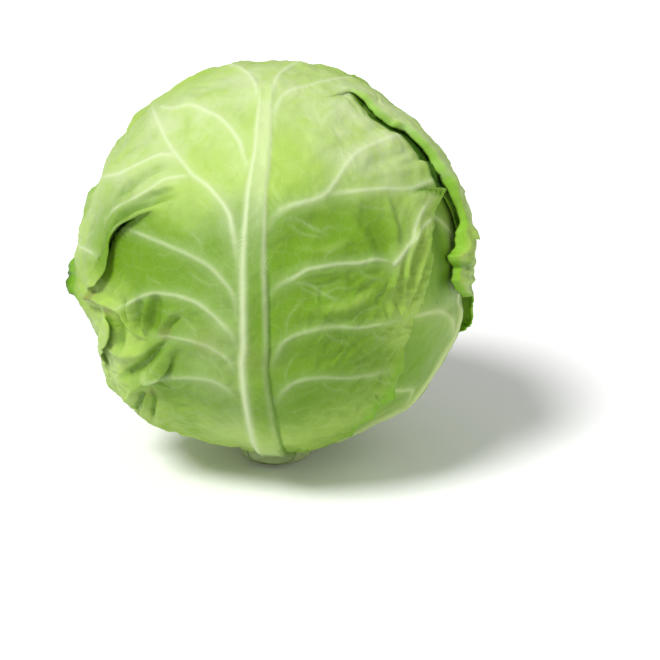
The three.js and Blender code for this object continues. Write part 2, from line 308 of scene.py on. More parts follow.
@dataclass
class Leaf:
    """A wrapper leaf: its place on the head, its outline, ribs, folds and margin."""

    name: str
    node: str
    slot: str
    azimuth: float
    roll: float
    outline: tuple[Point, ...]
    midrib: Line
    veins: list[Vein]
    cells: int = 216
    folds: list[Fold] = field(default_factory=list)
    creases: list[Crease] = field(default_factory=list)
    bulges: list[Spot] = field(default_factory=list)
    bloom_and_sheen_spots: list[Spot] = field(default_factory=list)
    stains: list[Spot] = field(default_factory=list)
    tone_and_shade_spots: list[Spot] = field(default_factory=list)
    frill: float = 3.0
    frill_waves: int = 10
    frill_width: float = 22.0
    seed: float = 0.0
    blade: float = 0.95
    skin: float = 0.8
    midrib_half: Point = (10.5, 3.4)
    midrib_rise: Point = (3.4, 0.9)
    branch_gap: float = 15.0
    tilt: float = 18.0

    def __post_init__(self) -> None:
        """Find the sheet's three axes and give the side veins their branches."""
        turn, tilt = math.radians(self.azimuth), math.radians(self.tilt)
        level = np.array([math.sin(turn), -math.cos(turn), 0.0])
        self.middle = level * math.cos(tilt) + np.array([0.0, 0.0, math.sin(tilt)])
        right = np.array([math.cos(turn), math.sin(turn), 0.0])
        up = np.cross(self.middle, right)
        roll = math.radians(self.roll)
        self.right = right * math.cos(roll) + up * math.sin(roll)
        self.up = np.cross(self.middle, self.right)
        self.under: list[Leaf] = []
        self.over: list[Leaf] = []
        self.branches = [b for i, vein in enumerate(self.veins) for b in self.branch(i, vein)]

    def branch(self, number: int, vein: Vein) -> list[Vein]:
        """Grow small branches to both sides of a side vein.

        Args:
            number: The vein's number, which seeds the draw.
            vein: The vein that the branches leave.

        Returns:
            The branches.
        """
        draw = np.random.default_rng(int(1000 * self.seed) + number)
        fine = vein.line.fine
        length = np.linalg.norm(np.diff(fine, axis=0), axis=1).sum()
        grown = []
        side = 1.0 if draw.random() < 0.5 else -1.0
        for share in np.arange(0.22, 0.97, self.branch_gap / max(length, 1.0)):
            at = min(int((share + draw.uniform(-0.03, 0.03)) * (len(fine) - 1)), len(fine) - 2)
            ahead = fine[at + 1] - fine[at]
            ahead = ahead / np.linalg.norm(ahead)
            turn = side * math.radians(draw.uniform(36, 58))
            side = -side
            reach = draw.uniform(14, 26) * (1.1 - 0.5 * share)
            way = [ahead * math.cos(turn) + np.array([-ahead[1], ahead[0]]) * math.sin(turn)]
            bend = way[0] + 0.5 * ahead
            points = (fine[at], fine[at] + 0.5 * reach * way[0], fine[at] + reach * bend / np.linalg.norm(bend))
            grown.append(
                Vein(
                    Line(tuple(map(tuple, points))),
                    half_width=(0.55, 0.4),
                    rise=(0.14, 0.04),
                    tent=0.35,
                    tent_width=4.5,
                    pale=0.16,
                )
            )
        return grown

    def directions(self, x: np.ndarray, y: np.ndarray) -> np.ndarray:
        """Return the directions from the head's middle to places on the sheet."""
        reach = np.maximum(np.hypot(x, y), 1e-9)
        angle = reach / HEAD_RADIUS
        side = np.sin(angle) / reach
        return (
            np.cos(angle)[:, None] * self.middle
            + (side * x)[:, None] * self.right
            + (side * y)[:, None] * self.up
        )

    def places(self, direction: np.ndarray) -> tuple[np.ndarray, np.ndarray]:
        """Return the places on the sheet that lie under these directions."""
        angle = np.arccos(np.clip(direction @ self.middle, -1.0, 1.0))
        scale = HEAD_RADIUS * angle / np.maximum(np.sin(angle), 1e-6)
        return scale * (direction @ self.right), scale * (direction @ self.up)

    def reach(self, x: np.ndarray, y: np.ndarray) -> np.ndarray:
        """Return how far the leaf reaches from its middle towards these places."""
        return round_the_row(self.outline, np.degrees(np.arctan2(y, x)))

    def cover(self, direction: np.ndarray) -> np.ndarray:
        """Return 1 where the leaf lies and just outside it, easing to 0 further out."""
        x, y = self.places(direction)
        return 1.0 - smooth(np.hypot(x, y) - self.reach(x, y), 4.0, 18.0)

    def grid(self, mesh: bmesh.types.BMesh) -> Blade:
        """Make the leaf's grid and lay it out within the outline.

        Args:
            mesh: The empty mesh to fill.

        Returns:
            The places of the grid's vertices, in their order.
        """
        bmesh.ops.create_grid(mesh, x_segments=self.cells, y_segments=self.cells, size=1.0)
        square = np.array([v.co[:2] for v in mesh.verts])
        share, degrees = self.rings(square)
        reach = self.edge(degrees)
        out = reach * share
        turn = np.radians(degrees)
        return Blade.flat(out * np.cos(turn), out * np.sin(turn), reach - out)

    @staticmethod
    def rings(square: np.ndarray) -> tuple[np.ndarray, np.ndarray]:
        """Turn a square's nested square rings into round ones.

        Args:
            square: Places within the square from -1 to 1.

        Returns:
            The share of the way out to the rim, and the angle in degrees.
        """
        u, v = square[:, 0], square[:, 1]
        wide = np.abs(u) >= np.abs(v)
        share = np.where(wide, np.abs(u), np.abs(v))
        run = np.where(wide, v, u) / np.maximum(share, 1e-9)
        beside = np.where(u >= 0, 45.0 * run, 180.0 - 45.0 * run)
        along = np.where(v >= 0, 90.0 - 45.0 * run, 270.0 + 45.0 * run)
        return share, np.where(wide, beside, along)

    def edge(self, degrees: np.ndarray) -> np.ndarray:
        """Return the margin's distance from the middle, with its small scallops."""
        turn = np.radians(degrees)
        scallop = 1.3 * np.sin(17 * turn + self.seed) + 0.8 * np.sin(31 * turn + 2 * self.seed)
        near_stem = 1.0 - smooth(np.abs((degrees + 90.0 + 180.0) % 360.0 - 180.0), 25.0, 60.0)
        return round_the_row(self.outline, degrees) + scallop * (1.0 - near_stem)

    def shape(self, blade: Blade) -> None:
        """Raise ribs, folds, wrinkles and margin on the blade."""
        for fold in self.folds:
            self.lay_fold(blade, fold)
        self.raise_veins(blade)
        self.raise_midrib(blade)
        for crease in self.creases:
            self.press(blade, crease)
        for bulge in self.bulges:
            away = np.hypot(blade.x - bulge.at[0], blade.y - bulge.at[1])
            blade.height += bulge.amount * (1.0 - smooth(away, 0.0, bulge.radius))
        self.crumple(blade)
        self.frill_margin(blade)
        self.paint_patches(blade)

    def raise_veins(self, blade: Blade) -> None:
        """Raise the side veins and their branches, and paint them pale."""
        tent = np.zeros(len(blade.x))
        ridge = np.zeros(len(blade.x))
        for vein in [*self.veins, *self.branches]:
            at, across, along, _, _ = vein.line.measure(blade.x, blade.y, 3.2 * vein.tent_width)
            start = smooth(along, 0.0, 0.12) if vein.open_start else 1.0
            end = 1.0 - smooth(along, 0.82, 1.0)
            half = mix(*vein.half_width, along) * mix(1.7 if vein.open_start else 1.0, 1.0, smooth(along, 0.0, 0.25))
            crest = np.exp(-((across / half) ** 2))
            away = np.hypot(across, 1.6)
            near = np.exp(-away / vein.tent_width) * (1.0 - smooth(away, 12, 28))
            rooted = smooth(along, 0.0, 0.22) if vein.open_start else 1.0
            rise = mix(*vein.rise, along) * crest * mix(0.5, 1.0, end) * mix(0.25, 1.0, rooted)
            ridge[at] = np.maximum(ridge[at], rise)
            tent[at] = np.maximum(tent[at], vein.tent * near * mix(0.35, 1.0, end) * mix(0.6, 1.0, start))
            crown = np.exp(-((across / (1.2 * half)) ** 2))
            shine = 0.88 * vein.pale * crown * mix(0.3, 1.0, end) * mix(0.3, 1.0, rooted)
            blade.vein[at] = np.maximum(blade.vein[at], shine)
            halo = 0.27 * vein.pale * np.exp(-((across / (3.6 * half)) ** 2)) * mix(0.4, 1.0, rooted)
            blade.vein[at] = np.maximum(blade.vein[at], halo)
        blade.height += ridge + tent

    def raise_midrib(self, blade: Blade) -> None:
        """Raise the midrib: a low plateau with a rounded cord along each edge."""
        at, across, along, _, _ = self.midrib.measure(blade.x, blade.y, 40.0)
        half = mix(self.midrib_half[0], self.midrib_half[1], along**0.62)
        rise = mix(self.midrib_rise[0], self.midrib_rise[1], along**0.6)
        q = np.abs(across) / half
        tip = 1.0 - smooth(along, 0.9, 1.0)
        plateau = 1.0 - smooth(q, 0.6, 1.12)
        left = across > 0.0
        cord = np.exp(-(((q - np.where(left, 0.76, 0.84)) / np.where(left, 0.3, mix(0.17, 0.24, along))) ** 2))
        cord = cord * np.where(left, 0.85, mix(0.22, 0.7, smooth(along, 0.42, 0.7)))
        groove = np.exp(-(((q - 1.12) * half / 0.9) ** 2)) * np.where(left, 0.0, 1.0 - smooth(along, 0.5, 0.7))
        shoulder = np.exp(-np.maximum(np.abs(across) - half, 0.0) / 7.0) * (1.0 - smooth(q * half, 16, 38))
        body = rise * (0.78 * plateau + 0.3 * cord) * tip
        blade.height[at] += body + 0.9 * shoulder * mix(0.4, 1.0, tip) - 0.5 * groove
        # Painted shade in the groove beside the midrib's right edge.
        blade.tone[at] += 0.75 * groove
        blade.thick[at] = np.maximum(blade.thick[at], body * smooth(0.75 - along, 0.0, 0.4))
        centre = 0.6 * (1.0 - smooth(along, 0.05, 0.3)) + 0.55 * smooth(along, 0.55, 0.85)
        pale = np.maximum(cord, centre * plateau) * tip
        blade.vein[at] = np.maximum(blade.vein[at], pale)

    def press(self, blade: Blade, crease: Crease) -> None:
        """Add one soft ridge or furrow."""
        at, across, along, _, _ = crease.line.measure(blade.x, blade.y, 4.0 * crease.half_width)
        ends = smooth(along, 0.0, 0.3) * (1.0 - smooth(along, 0.7, 1.0))
        q = np.abs(across) / (crease.half_width * mix(0.45, 1.0, ends))
        profile = np.exp(1.0 - np.hypot(q, 1.0)) if crease.sharp else np.exp(-q * q)
        profile = profile * (1.0 - smooth(q, 2.5, 4.0))
        blade.height[at] += crease.rise * profile * ends
        # Painted shade along the crease; a shade below 0 paints light on it.
        blade.tone[at] += crease.shade * np.exp(-q * q) * ends

    def crumple(self, blade: Blade) -> None:
        """Add the blade's uneven swelling, which grows towards the margin."""
        direction = self.directions(blade.x, blade.y)
        broad = self.noise_at(direction * 3.1)
        puckers = self.noise_at(direction * 8.0 + 7.0)
        pinched = 1.0 - 2.0 * np.abs(self.noise_at(direction * 11.0 + 1.7 * puckers[:, None] + 31.0))
        fine = self.noise_at(direction * 24.0 + 3.0)
        out = 1.0 - smooth(blade.inside, 5.0, 85.0)
        calm = 1.0 - 0.75 * np.clip(blade.vein, 0.0, 1.0)
        rough = mix(1.0, 1.7, out) * puckers + mix(0.4, 1.0, out) * pinched + mix(0.16, 0.34, out) * fine
        blade.height += 0.8 * broad + calm * rough - 0.6

    def noise_at(self, points: np.ndarray) -> np.ndarray:
        """Return smooth noise between about -1 and 1 at each point."""
        shift = 17.3 * self.seed
        return np.array([noise.noise((p[0] + shift, p[1], p[2])) for p in points.tolist()])

    def frill_margin(self, blade: Blade) -> None:
        """Wave the margin and colour it."""
        turn = np.arctan2(blade.y, blade.x)
        waves = 0.55 + 0.45 * np.sin(self.frill_waves * turn + 1.3 * np.sin(2 * turn))
        ruffle = np.sin(3.1 * self.frill_waves * turn + 2.0 * np.sin(3 * turn + self.seed))
        free = self.freedom(blade)
        blade.height += self.frill * waves * free * (1.0 - smooth(blade.inside, 0.0, self.frill_width))
        blade.height += 0.9 * ruffle * free * (1.0 - smooth(blade.inside, 0.0, 9.0))
        blade.margin = np.maximum(blade.margin, free * (1.0 - smooth(blade.inside, 1.0, 12.0)))

    def freedom(self, blade: Blade) -> np.ndarray:
        """Return how freely the margin waves at each place, from 0 to 1."""
        return smooth(blade.y, -130.0, -85.0)

    def lay_fold(self, blade: Blade, fold: Fold) -> None:
        """Lap the blade on the fold's left over that on its right."""
        reach = max(2.0 * fold.fade, 1.2 * fold.half_width)
        at, across, along, left_x, left_y = fold.line.measure(blade.x, blade.y, reach)
        grown = smooth(along, 0.0, fold.grown[0]) * (1.0 - smooth(along, fold.grown[1], 1.0))
        q = np.clip(across / fold.half_width, -1.0, 1.0)
        shift = -fold.lap * grown * np.sin(np.pi * q)
        blade.x[at] += left_x * shift
        blade.y[at] += left_y * shift
        high = smooth(q, -0.6, 0.6) * (1.0 - smooth(across, 0.3 * fold.fade, 2.0 * fold.fade))
        blade.height[at] += fold.lift * grown * high
        # Painted shade on the blade beside the fold, under its lapped edge.
        blade.tone[at] += fold.shade * np.exp(-(((q + 0.35) / 0.5) ** 2)) * grown

    def paint_patches(self, blade: Blade) -> None:
        """Paint the wax coat, painted sheen, brown stains, and uneven green with painted light and shade."""
        at, across, along, _, _ = self.midrib.measure(blade.x, blade.y, 60.0)
        beside = smooth(across, -2.0, 8.0) * (1.0 - smooth(across, 12.0, 46.0)) * (1.0 - smooth(along, 0.35, 0.8))
        blade.bloom_and_sheen[at] = np.maximum(blade.bloom_and_sheen[at], 0.24 * beside)
        # The spots paint the pale wax coat and a painted sheen on the lit top.
        for spot in self.bloom_and_sheen_spots:
            away = np.hypot(blade.x - spot.at[0], blade.y - spot.at[1])
            blade.bloom_and_sheen += spot.amount * (1.0 - smooth(away, 0.2 * spot.radius, spot.radius))
        for spot in self.stains:
            away = np.hypot(blade.x - spot.at[0], blade.y - spot.at[1])
            blade.stain += spot.amount * (1.0 - smooth(away, 0.1 * spot.radius, spot.radius))
        # The spots paint the leaf's own uneven green together with painted light and shade: lighter where below 0,
        # darker where above.
        patches = np.full(len(blade.x), 0.35)
        for spot in self.tone_and_shade_spots:
            away = np.hypot(blade.x - spot.at[0], blade.y - spot.at[1])
            patches += spot.amount * (1.0 - smooth(away, 0.2 * spot.radius, spot.radius))
        blade.tone += np.minimum(patches, 0.9)

    def bend(self, blade: Blade, head: Head) -> tuple[np.ndarray, np.ndarray, np.ndarray]:
        """Bend the shaped blade round the head, and let it dip no lower than the leaf beneath it.

        Args:
            blade: The shaped blade.
            head: The form that it lies on.

        Returns:
            The places of the outer face, of the inner face of a thin blade, and of an inner face that
            fills the space under the blade, in metres.
        """
        direction = self.directions(blade.x, blade.y)
        layers = sum((leaf.cover(direction) for leaf in self.under), np.zeros(len(direction)))
        shown = np.ones(len(direction))
        for leaf in self.over:
            shown *= 1.0 - leaf.cover(direction)
        bed = head.radius(direction) + head.heart_gap + head.leaf_step * layers
        lowest = 0.15 - head.leaf_step
        height = 0.5 * (blade.height + lowest + np.hypot(blade.height - lowest, 0.3))
        radius = bed + self.blade + shown * height
        skin = self.skin + shown * np.minimum(blade.thick, height)
        thin = radius - skin
        full = np.minimum(bed - 0.7, thin - 0.9)
        opened = head.opened(direction)
        outer, thin, full = ((opened * r[:, None] + head.centre) * MM for r in (radius, thin, full))
        return outer, thin, full

    def build(self, head: Head) -> bpy.types.Object:
        """Make the finished leaf and hide the CAD node that it stands for.

        Args:
            head: The form that it lies on.

        Returns:
            The leaf's object.
        """
        mesh = bmesh.new()
        blade = self.grid(mesh)
        flat_x, flat_y = blade.x.copy(), blade.y.copy()
        self.shape(blade)
        outer, thin, full = self.bend(blade, head)
        for vertex, place in zip(mesh.verts, outer.tolist()):
            vertex.co = place
        self.sharpen_ribs(mesh, blade)
        paint = mesh.verts.layers.float_color.new(PAINT)
        tone = mesh.verts.layers.float.new(TONE_AND_SHADE)
        number = mesh.verts.layers.int.new("number")
        rows = np.clip(np.stack([blade.vein, blade.bloom_and_sheen, blade.margin, blade.stain], 1), 0.0, 1.0).tolist()
        for i, vertex in enumerate(mesh.verts):
            vertex[paint] = rows[i]
            vertex[tone] = float(blade.tone[i])
            vertex[number] = i
        self.thicken(mesh, thin, full, number)
        sheet = mesh.loops.layers.uv.new(SHEET_UV)
        for face in mesh.faces:
            face.smooth = True
            for loop in face.loops:
                i = loop.vert[number]
                loop[sheet].uv = (flat_x[i] / 400 + 0.5, flat_y[i] / 400 + 0.5)
        mesh.verts.layers.int.remove(number)
        data = bpy.data.meshes.new(self.name)
        mesh.to_mesh(data)
        mesh.free()
        leaf = bpy.data.objects.new(self.name, data)
        bpy.context.scene.collection.objects.link(leaf)
        return dress(leaf, self.node)

    @staticmethod
    def sharpen_ribs(mesh: bmesh.types.BMesh, blade: Blade) -> None:
        """Split the cells on the ribs from crest to crest, so that no rib runs like a saw.

        Args:
            mesh: The outer face.
            blade: The shaped blade, in the order of the mesh's vertices.
        """
        mesh.verts.index_update()
        vein, height = blade.vein.tolist(), blade.height.tolist()
        ribs = [vertex for vertex in mesh.verts if vein[vertex.index] > 0.08]
        bmesh.ops.smooth_vert(mesh, verts=ribs, factor=0.4, use_axis_x=True, use_axis_y=True, use_axis_z=True)
        for cell in {face for vertex in ribs for face in vertex.link_faces}:
            a, b, c, d = cell.verts
            across = height[a.index] + height[c.index] < height[b.index] + height[d.index]
            bmesh.utils.face_split(cell, *((b, d) if across else (a, c)))

    def thicken(self, mesh: bmesh.types.BMesh, thin: np.ndarray, full: np.ndarray, number: object) -> None:
        """Close the leaf with an inner face, which is smooth and coarse where no one can look under it.

        Args:
            mesh: The outer face.
            thin: The inner face's places beside a margin or tear, one for each vertex of the outer face.
            full: Its places further in, where it fills the space under the blade.
            number: The layer that holds each vertex's number.
        """
        outside = set(mesh.verts)
        bmesh.ops.solidify(mesh, geom=mesh.faces[:], thickness=self.skin * MM)
        inside = [v for v in mesh.verts if v not in outside]
        depth = self.depths(inside, outside)
        share = smooth(np.arange(self.cells), 3.0, 12.0)
        for vertex in inside:
            i = vertex[number]
            vertex.co = mix(thin[i], full[i], share[depth[vertex]])
        bmesh.ops.recalc_face_normals(mesh, faces=mesh.faces)
        buried = [v for v in inside if depth[v] > 0]
        kept = set(buried)
        edges = [e for e in mesh.edges if e.verts[0] in kept or e.verts[1] in kept]
        bmesh.ops.dissolve_limit(
            mesh, angle_limit=math.radians(7.0), use_dissolve_boundaries=False, verts=buried, edges=edges
        )

    @staticmethod
    def depths(
        inside: list[bmesh.types.BMVert], outside: set[bmesh.types.BMVert]
    ) -> dict[bmesh.types.BMVert, int]:
        """Count how many cells each vertex of the inner face lies from a margin or tear.

        Args:
            inside: The vertices of the inner face.
            outside: The vertices of the outer face.

        Returns:
            The count for each vertex of the inner face.
        """
        depth: dict[bmesh.types.BMVert, int] = {}
        ring = {v for v in inside if any(e.other_vert(v) in outside for e in v.link_edges)}
        count = 0
        while ring:
            depth.update(dict.fromkeys(ring, count))
            ring = {e.other_vert(v) for v in ring for e in v.link_edges} - depth.keys() - outside
            count += 1
        return depth


@dataclass
class Tear:
    """A long tear round the leaf's right side, which parts an upper lobe from the rest.

    The tear runs along one ring of the leaf's grid from its start to its exit, and then out to the
    margin. Angles are in degrees round the leaf's middle, and distances in millimetres from it.
    """

    ring: int = 93
    start_column: int = 37
    exit_row: int = -22
    start: float = 72.0
    exit: float = -10.5
    upper_edge: tuple[Point, ...] = (
        (-10.5, 116), (-8.6, 101), (-5.8, 96), (-3.4, 98), (-1.4, 99.5), (0.4, 95), (1.8, 94), (3.2, 98),
        (4.8, 100), (8.9, 100.5), (12.3, 104), (15.8, 104), (20.7, 102), (24.5, 101), (28.6, 100), (34, 101.5),
        (40, 100), (45, 99.5), (49, 95.5), (55, 94), (60.6, 96.5), (65, 97.5), (72, 86.5), (95, 88), (180, 98),
        (300, 98), (345, 92),
    )
    lower_edge: tuple[Point, ...] = (
        (-10.5, 77.8), (-7.9, 79), (-3.8, 79.7), (1.9, 80.6), (5.2, 79.7), (9.9, 81.5), (13.5, 87), (17.2, 89),
        (20, 91.5), (24, 103), (35, 111), (45, 109), (52, 105), (59, 105), (66, 101), (72, 86.5), (95, 88),
        (180, 98), (300, 86), (325, 62), (340, 62),
    )
    lower_margin: tuple[Point, ...] = (
        (-90, 165), (-80, 150), (-66, 118), (-50, 95), (-34, 81), (-21, 76), (-7, 78),
    )
    upper_margin: tuple[Point, ...] = ((-10, 138), (-2.5, 138), (10, 141), (30, 150))


@dataclass
class FrontLeaf(Leaf):
    """The widest leaf, with the tear and the long upper lobe at its right."""

    tear: Tear = field(default_factory=Tear)

    def grid(self, mesh: bmesh.types.BMesh) -> Blade:
        """Make the grid, cut the tear in it and lay both sides of it out.

        Args:
            mesh: The empty mesh to fill.

        Returns:
            The places of the grid's vertices, in their order.
        """
        tear, half = self.tear, self.cells // 2
        bmesh.ops.create_grid(mesh, x_segments=self.cells, y_segments=self.cells, size=1.0)

        def cell(vertex: bmesh.types.BMVert) -> tuple[int, int]:
            """Return a vertex's column and row from the middle."""
            return round(vertex.co.x * half), round(vertex.co.y * half)

        def torn(edge: bmesh.types.BMEdge) -> bool:
            """Say whether an edge lies on the tear."""
            (u1, v1), (u2, v2) = cell(edge.verts[0]), cell(edge.verts[1])
            on_top = v1 == v2 == tear.ring and tear.start_column <= min(u1, u2) and max(u1, u2) <= tear.ring
            on_side = u1 == u2 == tear.ring and tear.exit_row <= min(v1, v2) and max(v1, v2) <= tear.ring
            on_exit = v1 == v2 == tear.exit_row and min(u1, u2) >= tear.ring
            return on_top or on_side or on_exit

        bmesh.ops.split_edges(mesh, edges=[e for e in mesh.edges if torn(e)])
        mesh.verts.index_update()
        square = np.array([v.co[:2] for v in mesh.verts])
        faces = np.array([np.mean([f.calc_center_median()[:2] for f in v.link_faces], 0) for v in mesh.verts])
        share, degrees = self.rings(square)
        ring = tear.ring / half
        past = np.maximum(faces[:, 0], faces[:, 1]) > ring
        early = faces[:, 0] > faces[:, 1] * tear.start_column / tear.ring
        upper = past & early & (faces[:, 1] > tear.exit_row / half)
        return self.lay_out(share, (degrees + 90.0) % 360.0 - 90.0, upper, ring)

    def lay_out(self, share: np.ndarray, degrees: np.ndarray, upper: np.ndarray, ring: float) -> Blade:
        """Place both sides of the tear.

        Args:
            share: The share of the way out to the rim.
            degrees: The angle round the middle.
            upper: True for the vertices of the upper lobe.
            ring: The share of the way out at which the leaf is torn.

        Returns:
            The laid out blade.
        """
        tear = self.tear
        past = np.clip((share - ring) / (1.0 - ring), 0.0, 1.0)
        below = tear.exit - degrees
        swing = np.where(
            upper,
            4.5 * past * (1.0 - smooth(-below, 0.0, 20.0)),
            -10.5 * smooth(past, 0.0, 1.0) * (below > -4.0) * (1.0 - smooth(below, 0.0, 35.0)),
        )
        turned = degrees + swing
        inner = np.where(
            upper, round_the_row(tear.upper_edge, degrees), round_the_row(tear.lower_edge, degrees)
        )
        rim = self.edge(turned)
        low = (~upper) & (turned < -5.0)
        rim = np.where(low, along_the_row(tear.lower_margin, turned), rim)
        rim = np.where(upper & (turned < 28.0), along_the_row(tear.upper_margin, turned), rim)
        out = np.where(share <= ring, inner * share / ring, mix(inner, rim, past))
        free = smooth(tear.start - degrees, 0.0, 14.0) * (degrees > tear.exit - 0.5) * (degrees < tear.start)
        turn = np.radians(turned)
        self.lobe = (upper, degrees, out - inner, free)
        return Blade.flat(out * np.cos(turn), out * np.sin(turn), rim - out)

    def freedom(self, blade: Blade) -> np.ndarray:
        """Return how freely the margin waves, which is little beside the tear's lower end."""
        held = (~self.lobe[0]) & (blade.x > 0.0)
        beside = np.where(held, 1.0 - 0.85 * smooth(blade.y, -70.0, -40.0), 1.0)
        pressed = self.lobe[0] * (1.0 - smooth(blade.y, 40.0, 110.0))
        return super().freedom(blade) * beside * (1.0 - 0.7 * pressed)

    def lay_fold(self, blade: Blade, fold: Fold) -> None:
        """Lap one part of the blade over another, and spare the upper lobe beside the tear."""
        self.spare_lobe(super().lay_fold, blade, fold)

    def press(self, blade: Blade, crease: Crease) -> None:
        """Add one soft ridge or furrow, and spare the upper lobe beside the tear."""
        self.spare_lobe(super().press, blade, crease)

    def spare_lobe(self, work: Callable[[Blade, object], None], blade: Blade, mark: Fold | Crease) -> None:
        """Do a piece of work on the blade, and undo it on the upper lobe if the mark lies beside the tear.

        Args:
            work: What is done to the blade.
            blade: The blade that is being shaped.
            mark: The fold or crease that the work lays.
        """
        kept = self.lobe[0] & mark.beside_tear
        before = [blade.x[kept], blade.y[kept], blade.height[kept], blade.tone[kept]]
        work(blade, mark)
        blade.x[kept], blade.y[kept], blade.height[kept], blade.tone[kept] = before

    def shape(self, blade: Blade) -> None:
        """Shape the blade, and lift the upper lobe over the lower one."""
        super().shape(blade)
        upper, degrees, past, free = self.lobe
        lip = np.sqrt(1.0 - (1.0 - np.clip(past / 2.8, 0.0, 1.0)) ** 2)
        stays = 1.0 - 0.96 * smooth(past, 3.0, 34.0)
        turn = np.radians(degrees)
        wave = np.sin(15.0 * turn + 1.2 * np.sin(5.0 * turn)) + 0.25 * np.sin(31.0 * turn + 1.0)
        ruffle = wave * (1.0 - smooth(past, 0.0, 14.0)) * (1.0 - smooth(degrees, 8.0, 46.0))
        tall = mix(3.6, 2.2, smooth(degrees, 16.0, 52.0))
        raised = 0.9 * stays + tall * lip * stays + 1.9 * ruffle * smooth(past, -1.0, 4.0)
        blade.height += np.where(upper, free * raised, 0.0)
        shelter = past - round_the_row(self.tear.upper_edge, degrees) + round_the_row(self.tear.lower_edge, degrees)
        blade.height -= np.where(upper, 0.0, 1.6 * free * smooth(shelter, -7.0, -1.0))
        # Painted shade in the groove on the lower lobe under the lip.
        narrow = smooth(degrees, 24.0, 46.0)
        shade = 2.3 * smooth(shelter - mix(0.0, 3.6, narrow), mix(-8.5, -6.5, narrow), -4.0)
        blade.tone += np.where(upper, 0.0, free * shade * smooth(degrees, 8.0, 18.0))
        # Painted shade: the lip's rolled edge in the saturated margin green.
        lip_shade_band = np.where(upper, free * (1.0 - smooth(past, 0.4, 3.0)), 0.0)
        bare_side = np.where(upper | (past > 0.0) | (degrees > 24.0), 0.0, free * (1.0 - smooth(-past, 0.5, 5.0)))
        blade.margin = np.maximum(blade.margin, np.maximum(lip_shade_band, 0.6 * bare_side))


@dataclass(frozen=True)
class LeafFinish:
    """The finish of a leaf: its colours, and how strongly each shows."""

    name: str
    deep: tuple[float, float, float]
    light: tuple[float, float, float]
    vein: tuple[float, float, float]
    bloom_and_sheen: tuple[float, float, float]
    margin: tuple[float, float, float]
    # recess_shade: painted shade, a near-black green where the painted shade runs deepest.
    recess_shade: tuple[float, float, float] = (0.035, 0.11, 0.002)
    stain: tuple[float, float, float] = (0.20, 0.14, 0.05)
    roughness: Point = (0.40, 0.56)
    bump: float = 0.35

    def material(self) -> bpy.types.Material:
        """Build the material.

        Returns:
            The leaf's material, which reads the leaf's paint and sheet.
        """
        ink = Ink(self.name)
        paint = ink.node("ShaderNodeAttribute", attribute_name=PAINT)
        parts = ink.node("ShaderNodeSeparateColor")
        ink.join(paint.outputs["Color"], parts.inputs["Color"])
        vein, bloom_and_sheen, margin = parts.outputs["Red"], parts.outputs["Green"], parts.outputs["Blue"]
        sheet = ink.node("ShaderNodeUVMap", uv_map=SHEET_UV).outputs["UV"]
        here = ink.node("ShaderNodeTexCoord").outputs["Object"]
        patches = ink.noise(here, scale=16.0, detail=4.0, roughness=0.55)
        mottle = ink.noise(here, scale=75.0, detail=5.0, roughness=0.6)
        net = ink.net(sheet, scale=62.0, wander=0.10)
        fine_net = ink.net(sheet, scale=190.0, wander=0.06)

        tone = ink.node("ShaderNodeAttribute", attribute_name=TONE_AND_SHADE).outputs["Fac"]
        uneven = ink.plus(ink.scaled(ink.ramp(patches, 0.3, 0.7), 0.5), ink.scaled(ink.ramp(mottle, 0.3, 0.7), 0.16))
        # The darker green from the vertex layer, partly painted shade and light, with random patches, turns the green
        # from light to deep.
        depth = ink.plus(tone, ink.plus(uneven, -0.33))
        colour = ink.blend(ink.ramp(depth, 0.0, 1.0), self.light, self.deep)
        colour = ink.blend(ink.scaled(net, 0.03), colour, self.vein)
        colour = ink.blend(ink.scaled(fine_net, 0.028), colour, self.vein)
        # The pale wax coat with its painted sheen, kept off the painted shade.
        bloom_and_sheen_mask = ink.times(ink.times(bloom_and_sheen, ink.ramp(mottle, 0.2, 0.7)), ink.ramp(depth, 1.5, 0.9))
        colour = ink.blend(ink.scaled(bloom_and_sheen_mask, 0.85), colour, self.bloom_and_sheen)
        colour = ink.blend(ink.scaled(margin, 0.75), colour, self.margin)
        colour = ink.blend(ink.scaled(vein, 0.85), colour, self.vein)
        # Painted shade: the near-black green where the painted shade runs deepest.
        colour = ink.blend(ink.ramp(depth, 1.1, 2.2), colour, self.recess_shade)
        colour = ink.blend(ink.scaled(paint.outputs["Alpha"], 0.8), colour, self.stain)

        grain = ink.noise(here, scale=900.0, detail=3.0, roughness=0.6)
        relief = ink.plus(ink.scaled(net, 0.22), ink.plus(ink.scaled(fine_net, 0.16), ink.scaled(grain, 0.18)))
        relief = ink.plus(relief, ink.scaled(mottle, 0.9))
        shader = ink.shader
        ink.join(colour, shader.inputs["Base Color"])
        ink.join(ink.between(patches, *self.roughness), shader.inputs["Roughness"])
        ink.join(ink.bump(relief, strength=self.bump, distance=0.0005), shader.inputs["Normal"])
        shader.inputs["IOR"].default_value = 1.28
        shader.inputs["Sheen Weight"].default_value = 0.02
        shader.inputs["Sheen Roughness"].default_value = 0.45
        shader.inputs["Sheen Tint"].default_value = (0.93, 1.0, 0.86, 1.0)
        return ink.material


